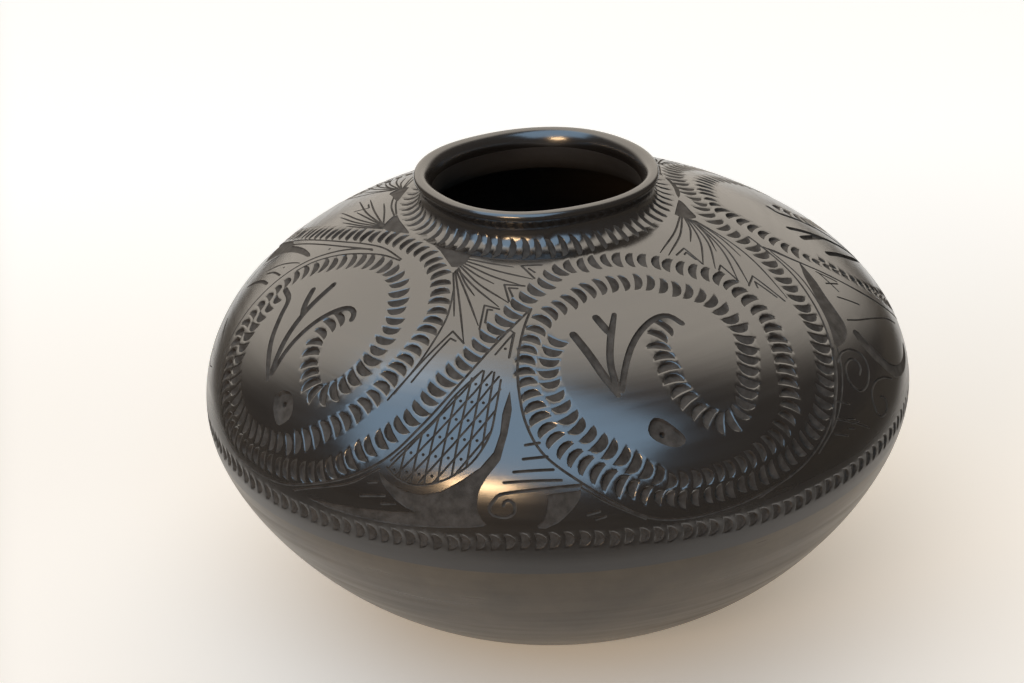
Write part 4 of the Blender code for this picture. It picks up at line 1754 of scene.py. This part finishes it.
class Grain(Enum):
    """Which material a face takes."""

    POLISHED = 0
    RAW = 1
    INSIDE = 2


@dataclass
class Shell:
    """Points, triangles, grains, shading normals and rises of a closed member."""

    points: list[Array] = field(default_factory=list)
    faces: list[Array] = field(default_factory=list)
    grains: list[Array] = field(default_factory=list)
    normals: list[Array] = field(default_factory=list)
    ups: list[Array] = field(default_factory=list)
    count: int = 0

    def add(self, points: Array, faces: Array, grain: Array, normals: Array, ups: Array) -> int:
        """Add a patch.

        Args:
            points: rows of x, y, z in millimetres.
            faces: triangles, numbered within the patch.
            grain: material number of each face.
            normals: normal of each corner of each face.
            ups: rise of each point, for the streaks of the burnish.

        Returns:
            The number of the patch's first point.
        """
        first = self.count
        self.points.append(points)
        self.faces.append(faces + first)
        self.grains.append(grain)
        self.normals.append(normals)
        self.ups.append(ups)
        self.count += len(points)
        return first

    def add_joint(self, faces: Array) -> None:
        """Add flat raw faces between points that are there already.

        Args:
            faces: triangles as rows of point numbers.
        """
        self.faces.append(faces)
        self.grains.append(np.full(len(faces), Grain.RAW.value))
        self.normals.append(flat_normals(np.vstack(self.points), faces))


class Stack:
    """Rings of points one after another up, over or down the clay, all at the same azimuths."""

    def __init__(self, azimuth: Array) -> None:
        """Start without rings."""
        self.azimuth = azimuth
        self.rings: list[Array] = []
        self.rises: list[float] = []

    def add(self, places: Array, up: float) -> None:
        """Add a ring, and the rise at which its burnish is read."""
        self.rings.append(places)
        self.rises.append(up)

    def level(self, radius: float, height: float, up: float) -> None:
        """Add a ring of one radius and height, as on the foot and the floor."""
        self.add(CLAY.bend(self.azimuth, radius, height), up)

    def result(self) -> tuple[Array, Array, Array]:
        """What the rings amount to.

        Returns:
            Rows of x, y, z, rows of three point numbers that face outwards, and rises.
        """
        columns = len(self.azimuth)
        first = np.arange((len(self.rings) - 1) * columns).reshape(-1, columns)
        second = np.roll(first, -1, axis=1).ravel()
        first = first.ravel()
        lower = np.column_stack([first, second, second + columns])
        upper = np.column_stack([first, second + columns, first + columns])
        return np.vstack(self.rings), np.vstack([lower, upper]), np.repeat(self.rises, columns)


def band(ring: Array, opposite: Array) -> Array:
    """Two triangles between each point of a ring, the next one and their opposite points.

    Args:
        ring: numbers of the ring's points.
        opposite: numbers of as many points across the clay.

    Returns:
        Rows of three point numbers.
    """
    after, opposite_after = np.roll(ring, -1), np.roll(opposite, -1)
    near = np.column_stack([ring, after, opposite_after])
    return np.vstack([near, np.column_stack([ring, opposite_after, opposite])])


def stitch(first: Array, second: Array, first_turn: Array, second_turn: Array) -> Array:
    """Triangles between two rings whose points differ, advancing along the one that is behind.

    Args:
        first: numbers of the lower ring's points.
        second: numbers of the upper ring's points.
        first_turn: the lower ring's azimuths, rising.
        second_turn: the upper ring's azimuths, rising.

    Returns:
        Rows of three numbers that face outwards.
    """
    next_turn = np.concatenate([np.append(turn[1:], turn[0] + 360.0) for turn in (first_turn, second_turn)])
    kind = np.repeat([0, 1], [len(first), len(second)])
    above = kind[np.lexsort((kind, next_turn))] == 1
    lower_at = np.cumsum(~above) - ~above
    upper_at = np.cumsum(above) - above
    ahead = np.where(above, second[(upper_at + 1) % len(second)], first[(lower_at + 1) % len(first)])
    return np.column_stack([first[lower_at % len(first)], ahead, second[upper_at % len(second)]])


def rim_points(faces: Array) -> Array:
    """Points on the rims of a surface, where an edge has only one triangle.

    Args:
        faces: triangles as rows of point numbers.

    Returns:
        Their numbers.
    """
    edges = np.sort(np.vstack([faces[:, [0, 1]], faces[:, [1, 2]], faces[:, [2, 0]]]), axis=1)
    pairs, count = np.unique(edges, axis=0, return_counts=True)
    return np.unique(pairs[count == 1])


@dataclass(frozen=True)
class Finish:
    """Look of one clay surface."""

    name: str
    colour: Colour
    second_colour: Colour
    roughness: float
    roughness_spread: float
    ior: float
    streak: float
    grit: float
    specular: float
    cloud_scale: float = 34.0
    satin_below: Pair = (0.0, 0.0)
    tint: Colour = (1.0, 1.0, 1.0)


SATIN_ROUGHER = 0.12
SATIN_IOR = 1.72
POLISHED = Finish(
    name="polished_black_clay",
    colour=(0.018, 0.013, 0.010),
    second_colour=(0.030, 0.022, 0.016),
    roughness=0.22,
    roughness_spread=0.08,
    ior=2.6,
    streak=0.16,
    grit=0.03,
    specular=0.5,
    satin_below=(0.003, 0.016),
)
RAW = Finish(
    name="carved_grey_clay",
    colour=(0.078, 0.066, 0.055),
    second_colour=(0.148, 0.128, 0.110),
    roughness=0.78,
    roughness_spread=0.12,
    ior=1.4,
    streak=0.40,
    grit=0.80,
    specular=0.35,
    cloud_scale=260.0,
)
SATIN = Finish(
    name="satin_black_clay",
    colour=(0.040, 0.031, 0.021),
    second_colour=(0.100, 0.076, 0.050),
    roughness=0.34,
    roughness_spread=0.14,
    ior=SATIN_IOR,
    streak=0.30,
    grit=0.06,
    specular=0.5,
    tint=(1.0, 0.87, 0.71),
)
WIPED = Finish(
    name="wiped_inner_clay",
    colour=(0.060, 0.047, 0.037),
    second_colour=(0.090, 0.072, 0.056),
    roughness=0.50,
    roughness_spread=0.14,
    ior=1.85,
    streak=0.40,
    grit=0.12,
    specular=0.5,
)


class Wiring:
    """Adds nodes to a node tree and joins them up."""

    BUMP_REACH = 0.0002

    def __init__(self, tree: bpy.types.NodeTree) -> None:
        """Take the tree."""
        self.tree = tree

    def feed(self, socket: Socket, value: object) -> None:
        """Give an input a value, or link an output to it.

        Args:
            socket: the input.
            value: a number, a row of numbers or an output.
        """
        if isinstance(value, Socket):
            self.tree.links.new(value, socket)
        else:
            socket.default_value = value

    def node(self, kind: str, inputs: dict[str | int, object], **settings: object) -> bpy.types.Node:
        """Add a node.

        Args:
            kind: its type.
            inputs: a value or an output for each input that isn't left alone.
            settings: its properties.

        Returns:
            The new node.
        """
        made = self.tree.nodes.new(kind)
        for name, value in settings.items():
            setattr(made, name, value)
        for name, value in inputs.items():
            self.feed(made.inputs[name], value)
        return made

    def noise(self, place: Socket, scale: float, detail: float, rough: float) -> Socket:
        """Cloudy value around a half at each place."""
        inputs = {"Vector": place, "Scale": scale, "Detail": detail, "Roughness": rough}
        return self.node("ShaderNodeTexNoise", inputs).outputs["Fac"]

    def between(self, value: Socket, span: Pair, ends: Pair) -> Socket:
        """A value carried from one span to another, and kept within it."""
        inputs = dict(zip(("From Min", "From Max", "To Min", "To Max", "Value"), (*span, *ends, value)))
        return self.node("ShaderNodeMapRange", inputs, clamp=True).outputs["Result"]

    def fade(self, value: Socket, span: Pair) -> Socket:
        """Smooth step from 0 at the span's start to 1 at its end."""
        inputs = {"Value": value, "From Min": span[0], "From Max": span[1]}
        return self.node("ShaderNodeMapRange", inputs, interpolation_type="SMOOTHSTEP").outputs["Result"]

    def maths(self, operation: str, first: Socket, second: object = 0.0) -> Socket:
        """One step of arithmetic on two outputs, or an output and a number."""
        return self.node("ShaderNodeMath", {0: first, 1: second}, operation=operation).outputs["Value"]

    def blend(self, share: Socket, first: object, second: object) -> Socket:
        """Colour between two, each an output or a value."""
        inputs = {"Factor": share, "A": first, "B": second}
        return self.node("ShaderNodeMix", inputs, data_type="RGBA").outputs["Result"]

    def bump(self, height: Socket, strength: float, **normal: Socket) -> Socket:
        """Normals roughened by a height, on top of others where they are given."""
        inputs = {"Strength": strength, "Distance": self.BUMP_REACH, "Height": height, **normal}
        return self.node("ShaderNodeBump", inputs).outputs["Normal"]


class ClayMaterial:
    """Builds the node material of one finish."""

    STREAK_STRETCH = (14.0, 14.0, 260.0)
    STREAK_NOISE = (1.0, 3.0, 0.55)
    CLOUD_NOISE = (4.0, 0.6)
    GRIT_NOISE = (2600.0, 2.0, 0.6)
    CLOUD_SPAN = (0.35, 0.72)
    STREAK_SPAN = (0.3, 0.7)

    def __init__(self, finish: Finish) -> None:
        """Build the material.

        Args:
            finish: its look.
        """
        self.finish = finish
        self.material = bpy.data.materials.new(finish.name)
        self.material.use_nodes = True
        self.wires = Wiring(self.material.node_tree)
        self._build()

    def _build(self) -> None:
        """Cloudy colour, rubbed roughness, streaks along the burnish and fine grit."""
        finish, wires = self.finish, self.wires
        place = wires.node("ShaderNodeTexCoord", {}).outputs["Object"]
        grain = wires.node("ShaderNodeAttribute", {}, attribute_name="grain", attribute_type="GEOMETRY")
        around = grain.outputs["Vector"]
        stretched = wires.node("ShaderNodeMapping", {"Vector": around, "Scale": self.STREAK_STRETCH})
        streaks = wires.noise(stretched.outputs["Vector"], *self.STREAK_NOISE)
        clouds = wires.noise(place, finish.cloud_scale, *self.CLOUD_NOISE)
        grit = wires.noise(place, *self.GRIT_NOISE)
        cloudy = wires.between(clouds, self.CLOUD_SPAN, (0.0, 1.0))
        rubbed = finish.roughness - 0.5 * finish.roughness_spread
        rough = wires.between(streaks, self.STREAK_SPAN, (rubbed, rubbed + finish.roughness_spread))
        ior = finish.ior
        if finish.satin_below[1] > 0.0:
            rise = wires.node("ShaderNodeSeparateXYZ", {"Vector": around}).outputs["Z"]
            rough = wires.maths("ADD", rough, wires.between(rise, finish.satin_below, (SATIN_ROUGHER, 0.0)))
            ior = wires.between(rise, finish.satin_below, (SATIN_IOR, finish.ior))
        shader = self.material.node_tree.nodes["Principled BSDF"].inputs
        colour = wires.blend(cloudy, (*finish.colour, 1.0), (*finish.second_colour, 1.0))
        wires.feed(shader["Base Color"], colour)
        wires.feed(shader["Roughness"], rough)
        wires.feed(shader["Specular IOR Level"], finish.specular)
        wires.feed(shader["Specular Tint"], (*finish.tint, 1.0))
        wires.feed(shader["IOR"], ior)
        streaked = wires.bump(streaks, finish.streak)
        wires.feed(shader["Normal"], wires.bump(grit, finish.grit, Normal=streaked))


class Kiln:
    """Turns shells into Blender objects with the clay finishes."""

    def __init__(self) -> None:
        """Mix the clays."""
        self.clays = {finish.name: ClayMaterial(finish).material for finish in (POLISHED, RAW, SATIN, WIPED)}

    def fire(self, name: str, shell: Shell, burnish: Finish) -> bpy.types.Object:
        """Make the object of a shell.

        Args:
            name: name of the object.
            shell: the closed member.
            burnish: finish of its polished faces.

        Returns:
            The new object, at the origin.
        """
        points = np.vstack(shell.points) * MM
        faces = np.vstack(shell.faces).astype(np.int32)
        normals = np.vstack(shell.normals).reshape(-1, 3)
        mesh = bpy.data.meshes.new(name)
        mesh.vertices.add(len(points))
        mesh.vertices.foreach_set("co", points.astype(np.float32).ravel())
        mesh.loops.add(3 * len(faces))
        mesh.loops.foreach_set("vertex_index", faces.ravel())
        mesh.polygons.add(len(faces))
        mesh.polygons.foreach_set("loop_start", np.arange(0, 3 * len(faces), 3, dtype=np.int32))
        mesh.polygons.foreach_set("material_index", np.concatenate(shell.grains).astype(np.int32))
        for finish in (burnish, RAW, WIPED):
            mesh.materials.append(self.clays[finish.name])
        grain = mesh.attributes.new("grain", "FLOAT_VECTOR", "POINT")
        around = np.column_stack([points[:, 0], points[:, 1], np.concatenate(shell.ups) * MM])
        grain.data.foreach_set("vector", around.astype(np.float32).ravel())
        mesh.update(calc_edges=True)
        mesh.shade_smooth()
        mesh.normals_split_custom_set(normals.tolist())
        if mesh.validate(verbose=False):
            log.warning("%s needed repair", name)
        made = bpy.data.objects.new(name, mesh)
        bpy.context.scene.collection.objects.link(made)
        log.info("%s: %d triangles", name, len(faces))
        return made


@dataclass
class Member:
    """One clay member of the pot: its node in the part, its slot and its burnish."""

    node: str
    slot: str
    burnish: Finish

    def shell(self, skin: CarvedSkin) -> Shell:
        """The closed member."""
        raise NotImplementedError

    def build(self, skin: CarvedSkin, kiln: Kiln) -> None:
        """Make the piece, dress it, hang it under the root body and hide the part's node that it stands for.

        Args:
            skin: the carved outside.
            kiln: what makes the object.
        """
        made = kiln.fire(self.node + "_skin", self.shell(skin), self.burnish)
        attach(made, "root")
        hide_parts(self.node)


@dataclass
class Coil(Member):
    """A part of the carved skin, closed with an inner wall and joint faces."""

    low: float
    high: float
    inner_step: float = 7.0

    def shell(self, skin: CarvedSkin) -> Shell:
        """The closed coil.

        Args:
            skin: the carved outside.

        Returns:
            Its part between the two joints, with everything behind it.
        """
        middle = skin.up[skin.faces].mean(1)
        chosen = (middle > self.low) & (middle < self.high)
        used, numbers = np.unique(skin.faces[chosen], return_inverse=True)
        numbers = numbers.reshape(-1, 3)
        azimuth, up = skin.azimuth[used], skin.up[used]
        shell = Shell()
        grain = np.where(skin.raw[chosen], Grain.RAW.value, Grain.POLISHED.value)
        shell.add(skin.places[used], numbers, grain, skin.corner_normal[chosen], up)
        rims = rim_points(numbers)
        at_foot = up[rims] < 0.5 * (self.low + self.high)
        rings = [rim[np.argsort(azimuth[rim])] for rim in (rims[at_foot], rims[~at_foot])]
        self._close(shell, rings, [azimuth[ring] for ring in rings])
        return shell

    def _close(self, shell: Shell, rings: list[Array], azimuths: list[Array]) -> None:
        """Add the inner wall and the joint faces.

        Args:
            shell: the open skin.
            rings: numbers of the skin's points at the lower and the upper joint.
            azimuths: their azimuths, which the ends of the inner wall share.
        """
        low, high = CLAY.inner_rise(self.low), CLAY.inner_rise(self.high)
        rises = np.linspace(low, high, max(2, int(round((high - low) / self.inner_step))) + 1)
        turns = [azimuths[0]] + [even_turns()] * (len(rises) - 2) + [azimuths[1]]
        sizes = [len(turn) for turn in turns]
        numbers = np.split(np.arange(sum(sizes)), np.cumsum(sizes)[:-1])
        points = np.vstack([CLAY.inside(turn, rise) for turn, rise in zip(turns, rises)])
        steps = zip(numbers, numbers[1:], turns, turns[1:])
        faces = np.vstack([stitch(*step)[:, ::-1] for step in steps])
        grain = np.full(len(faces), Grain.INSIDE.value)
        first = shell.add(points, faces, grain, smooth_normals(points, faces), np.repeat(rises, sizes))
        shell.add_joint(band(rings[0], first + numbers[0])[:, ::-1])
        shell.add_joint(band(rings[1], first + numbers[-1]))


@dataclass
class Bowl(Member):
    """The plain bowl: foot, outside, joint, inside and floor as one turned grid."""

    row_step: float = 3.0
    inner_rows: int = 24
    foot_shares: tuple[float, ...] = (0.25, 0.55, 0.8, 0.96)
    floor_shares: tuple[float, ...] = (0.9, 0.6, 0.3)
    edge_reach: float = 0.1

    def shell(self, skin: CarvedSkin) -> Shell:
        """The closed bowl.

        Args:
            skin: the carved outside, whose lowest ring is the bowl's rim.

        Returns:
            Its shell.
        """
        azimuth, rim = skin.joint(JOINTS.bowl)
        columns = len(azimuth)
        foot, floor = CLAY.outer.marks[0], CLAY.inner.marks[0]
        edge = SIZES.foot_radius - 0.5 * SIZES.wall
        stack = Stack(azimuth)
        for share in self.foot_shares:
            stack.level(share * SIZES.foot_radius, 0.0, foot - (1.0 - share) * SIZES.foot_radius)
        for up in np.linspace(foot, JOINTS.bowl, int((JOINTS.bowl - foot) / self.row_step))[:-1]:
            stack.add(CLAY.outside(azimuth, up), up)
        stack.add(rim, JOINTS.bowl)
        rim_row = len(stack.rings) - 1
        for up in np.linspace(CLAY.inner_rise(JOINTS.bowl), floor, self.inner_rows):
            stack.add(CLAY.inside(azimuth, up), up)
        for share in self.floor_shares:
            stack.level(share * edge, SIZES.floor, floor - (1.0 - share) * edge)
        points, faces, ups = stack.result()
        row = faces.min(1) // columns
        kinds = [Grain.POLISHED.value, Grain.RAW.value]
        grain = np.select([row < rim_row, row == rim_row], kinds, Grain.INSIDE.value)
        ring = np.arange(columns)
        last = ring + len(points) - columns
        foot_fan = np.column_stack([np.full(columns, len(points)), np.roll(ring, -1), ring])
        floor_fan = np.column_stack([np.full(columns, len(points) + 1), last, np.roll(last, -1)])
        faces = np.vstack([faces, foot_fan, floor_fan])
        grain = np.concatenate([grain, np.repeat([Grain.POLISHED.value, Grain.INSIDE.value], columns)])
        points = np.vstack([points, [[0.0, 0.0, 0.0], [0.0, 0.0, SIZES.floor]]])
        ups = np.append(ups, [foot - SIZES.foot_radius, floor - edge])
        turns = np.append(np.tile(azimuth, len(stack.rings)), [0.0, 0.0])
        shell = Shell()
        shell.add(points, faces, grain, self._normals(points, faces, grain, ups, turns), ups)
        return shell

    def _normals(self, points: Array, faces: Array, grain: Array, ups: Array, turns: Array) -> Array:
        """Normals of the plain wall outside, and the mean over each grain's own faces elsewhere.

        Args:
            points: rows of x, y, z.
            faces: triangles as rows of point numbers.
            grain: material number of each face.
            ups: rise of each point.
            turns: azimuth of each point.

        Returns:
            Normal of each corner of each face.
        """
        foot = CLAY.outer.marks[0]
        normals = np.empty((len(faces), 3, 3))
        for kind in Grain:
            chosen = grain == kind.value
            normals[chosen] = smooth_normals(points, faces[chosen])
        wall_normal = CLAY.outward(turns, np.clip(ups, foot + 2.0 * self.edge_reach, JOINTS.neck))
        on_wall = (grain == Grain.POLISHED.value)[:, None] & (ups[faces] > foot + self.edge_reach)
        return np.where(on_wall[:, :, None], wall_normal[faces], normals)


@dataclass
class Lip(Member):
    """The rolled lip: a turned grid from the outer waist over the top to the inner waist."""

    rows: int = 18
    roll_reach: float = 3.0
    top_margin: float = 0.3

    def shell(self, skin: CarvedSkin) -> Shell:
        """The closed lip.

        Args:
            skin: the carved outside, whose highest ring is the lip's foot.

        Returns:
            Its shell.
        """
        azimuth, foot = skin.joint(JOINTS.neck)
        top, inner_top = CLAY.outer.up[-1], CLAY.inner.up[-1]
        share = np.linspace(0.0, 1.0, self.rows)[1:]
        stack = Stack(azimuth)
        stack.add(foot, JOINTS.neck)
        for up in JOINTS.neck + (top - JOINTS.neck) * share:
            stack.add(CLAY.outside(azimuth, up), up)
        for up in inner_top - (inner_top - CLAY.inner_rise(JOINTS.neck)) * share:
            stack.add(CLAY.inside(azimuth, up), 2.0 * top - up)
        points, faces, ups = stack.result()
        turns = np.tile(azimuth, len(stack.rings))
        wall_normal = CLAY.outward(turns, np.clip(ups, JOINTS.neck, top - self.top_margin))
        below_roll = (ups[faces] < top - self.roll_reach)[:, :, None]
        normals = np.where(below_roll, wall_normal[faces], smooth_normals(points, faces))
        shell = Shell()
        shell.add(points, faces, np.full(len(faces), Grain.POLISHED.value), normals, ups)
        ring = np.arange(len(azimuth))
        shell.add_joint(band(ring, ring + len(points) - len(azimuth))[:, ::-1])
        return shell


def members() -> list[Member]:
    """The pieces of the pot.

    Returns:
        The three carved coils, then the bowl and the lip that share their end rings.
    """
    return [
        Coil("belly_coil", "carved_clay", POLISHED, JOINTS.bowl, JOINTS.belly),
        Coil("shoulder_coil", "carved_clay", POLISHED, JOINTS.belly, JOINTS.shoulder),
        Coil("neck_coil", "polished_clay", POLISHED, JOINTS.shoulder, JOINTS.neck),
        Bowl("moulded_bowl", "satin_clay", SATIN),
        Lip("lip_coil", "polished_clay", POLISHED),
    ]


@dataclass(frozen=True)
class Lamp:
    """A soft rectangular lamp aimed at the pot, with its power in watts."""

    name: str
    place: tuple[float, float, float]
    size: Pair
    power: float
    colour: Colour

    def hang(self, target: Vector) -> None:
        """Put the lamp in its place, turned to a point.

        Args:
            target: the point.
        """
        data = bpy.data.lights.new(self.name, "AREA")
        data.shape = "RECTANGLE"
        data.size, data.size_y = self.size
        data.energy = self.power
        data.color = self.colour
        lamp = bpy.data.objects.new(self.name, data)
        place = Vector(self.place)
        lamp.location = place
        lamp.rotation_euler = (target - place).to_track_quat("-Z", "Y").to_euler()
        bpy.context.scene.collection.objects.link(lamp)


FRONT_SKY = Lamp("front_sky", (-0.42, -0.84, 1.48), (2.95, 1.55), 16.8, (0.48, 0.73, 1.0))
LOW_WARM = Lamp("low_warm", (-0.54, -1.16, 0.68), (0.46, 0.14), 3.0, (1.0, 0.66, 0.36))


@dataclass(frozen=True)
class StageSizes:
    """Floor, backdrop, lamps and camera, in metres and degrees."""

    floor_half: float = 9.0
    floor_roughness: float = 0.75
    floor_colour: Paint = (0.94, 0.925, 0.90, 1.0)
    # Painted shade: the dark colour of the floor towards its sides and in front, outside the painted pool of
    # light
    floor_painted_shade_colour: Paint = (0.068, 0.056, 0.043, 1.0)
    # Painted light: the floor glows for camera and reflection rays, warm round the pot, which lifts and warms
    # the shade there, and whiter and brighter behind it
    glow_colour: Paint = (0.96, 0.80, 0.62, 1.0)
    far_glow_colour: Paint = (0.93, 0.92, 0.90, 1.0)
    floor_glow: float = 0.30
    floor_far_glow: float = 0.17
    far_side: Pair = (0.05, 0.50)
    # Reach of the painted pool of light round the pot, beyond which painted shade darkens the floor at the
    # sides and in front
    pool_side: Pair = (0.224, 0.31)
    pool_flare: float = 0.19
    pool_front: Pair = (0.18, 0.36)
    backdrop_axis: tuple[float, float, float] = (-0.05, 0.74, 0.67)
    backdrop_edge: Pair = (0.50, 0.75)
    backdrop_colour: Paint = (1.12, 1.02, 0.89, 1.0)
    room_colour: Paint = (0.075, 0.067, 0.060, 1.0)
    lamps: tuple[Lamp, ...] = (FRONT_SKY, LOW_WARM)
    lamp_target: tuple[float, float, float] = (0.0, 0.0, 0.09)
    camera_place: tuple[float, float, float] = (0.0, -0.86426, 0.52194)
    camera_yaw: float = -1.13
    camera_pitch: float = -26.0
    camera_roll: float = -2.831
    camera_reach: float = 60.0
    lens: float = 85.0
    sensor: float = 36.0


class Studio:
    """Pale floor with a painted pool of light, painted shade and a painted glow, a background, soft lamps and
    the camera.
    """

    def __init__(self, sizes: StageSizes) -> None:
        """Take the sizes."""
        self.sizes = sizes

    def build(self) -> None:
        """Make the stage."""
        self._floor()
        self._world()
        for lamp in self.sizes.lamps:
            lamp.hang(Vector(self.sizes.lamp_target))
        self._camera()
        bpy.context.scene.view_settings.view_transform = "Standard"

    def _floor(self) -> None:
        """A level sheet that the pot stands on."""
        half = self.sizes.floor_half
        mesh = bpy.data.meshes.new("floor")
        ends = [(-half, -half, 0.0), (half, -half, 0.0), (half, half, 0.0), (-half, half, 0.0)]
        mesh.from_pydata(ends, [], [(0, 1, 2, 3)])
        floor = bpy.data.objects.new("floor", mesh)
        bpy.context.scene.collection.objects.link(floor)
        material = bpy.data.materials.new("pale_floor")
        material.use_nodes = True
        self._pool_of_light(material.node_tree)
        mesh.materials.append(material)

    def _pool_of_light(self, tree: bpy.types.NodeTree) -> None:
        """Painted pool of light: pale round the pot and behind it, with painted shade towards the sides and
        the front of the room, and a painted glow that camera and reflection rays see.

        Args:
            tree: the floor's node tree.
        """
        sizes, wires = self.sizes, Wiring(tree)
        place = wires.node("ShaderNodeTexCoord", {}).outputs["Object"]
        parts = wires.node("ShaderNodeSeparateXYZ", {"Vector": place}).outputs
        flare = wires.maths("MULTIPLY", parts["Y"], sizes.pool_flare)
        aside = wires.maths("SUBTRACT", wires.maths("ABSOLUTE", parts["X"]), flare)
        before = wires.maths("MULTIPLY", parts["Y"], -1.0)
        # Painted shade: mask that darkens the floor towards the sides and the front, away from the pot
        dim = wires.maths("MAXIMUM", wires.fade(aside, sizes.pool_side), wires.fade(before, sizes.pool_front))
        # Painted light: the floor's glow is warm round the pot and whiter and stronger behind it, and only
        # camera and reflection rays see it
        far_off = wires.fade(parts["Y"], sizes.far_side)
        shine = wires.blend(far_off, sizes.glow_colour, sizes.far_glow_colour)
        path = wires.node("ShaderNodeLightPath", {}).outputs
        mirrored = wires.maths("MAXIMUM", path["Is Glossy Ray"], path["Is Transmission Ray"])
        seen = wires.maths("MAXIMUM", path["Is Camera Ray"], mirrored)
        glow = wires.maths("ADD", wires.maths("MULTIPLY", far_off, sizes.floor_far_glow), sizes.floor_glow)
        shader = tree.nodes["Principled BSDF"].inputs
        wires.feed(shader["Roughness"], sizes.floor_roughness)
        # Base colour: pale in the painted pool of light, dark in the painted shade
        wires.feed(shader["Base Color"], wires.blend(dim, sizes.floor_colour, sizes.floor_painted_shade_colour))
        wires.feed(shader["Emission Color"], wires.blend(dim, shine, sizes.floor_painted_shade_colour))
        wires.feed(shader["Emission Strength"], wires.maths("MULTIPLY", seen, glow))

    def _world(self) -> None:
        """A bright wall behind and above the pot, and a dim room everywhere else."""
        sizes = self.sizes
        world = bpy.data.worlds.new("studio")
        bpy.context.scene.world = world
        world.use_nodes = True
        wires = Wiring(world.node_tree)
        direction = wires.node("ShaderNodeTexCoord", {}).outputs["Generated"]
        inputs = {0: direction, 1: sizes.backdrop_axis}
        lean = wires.node("ShaderNodeVectorMath", inputs, operation="DOT_PRODUCT").outputs["Value"]
        wall = wires.blend(wires.fade(lean, sizes.backdrop_edge), sizes.room_colour, sizes.backdrop_colour)
        wires.feed(world.node_tree.nodes["Background"].inputs["Color"], wall)

    def _camera(self) -> None:
        """The camera that took the photograph, by its place and its three turns."""
        sizes = self.sizes
        data = bpy.data.cameras.new("camera")
        data.lens = sizes.lens
        data.sensor_width = sizes.sensor
        data.clip_end = sizes.camera_reach
        camera = bpy.data.objects.new("camera", data)
        yaw, pitch = math.radians(sizes.camera_yaw), math.radians(sizes.camera_pitch)
        ahead = Vector((math.sin(yaw) * math.cos(pitch), math.cos(yaw) * math.cos(pitch), math.sin(pitch)))
        level_right = ahead.cross(Vector((0.0, 0.0, 1.0))).normalized()
        level_up = level_right.cross(ahead)
        cosine, sine = math.cos(math.radians(sizes.camera_roll)), math.sin(math.radians(sizes.camera_roll))
        right = cosine * level_right + sine * level_up
        up = -sine * level_right + cosine * level_up
        turn = Matrix((right, up, -ahead)).transposed().to_4x4()
        camera.matrix_world = Matrix.Translation(Vector(sizes.camera_place)) @ turn
        bpy.context.scene.collection.objects.link(camera)
        bpy.context.scene.camera = camera


def main() -> None:
    """Build the pot on its stage."""
    logging.basicConfig(level=logging.INFO, format="%(name)s: %(message)s")
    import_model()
    kiln = Kiln()
    skin = CarvedSkin(design())
    for member in members():
        member.build(skin, kiln)
    Studio(StageSizes()).build()


if __name__ == "__main__":
    main()
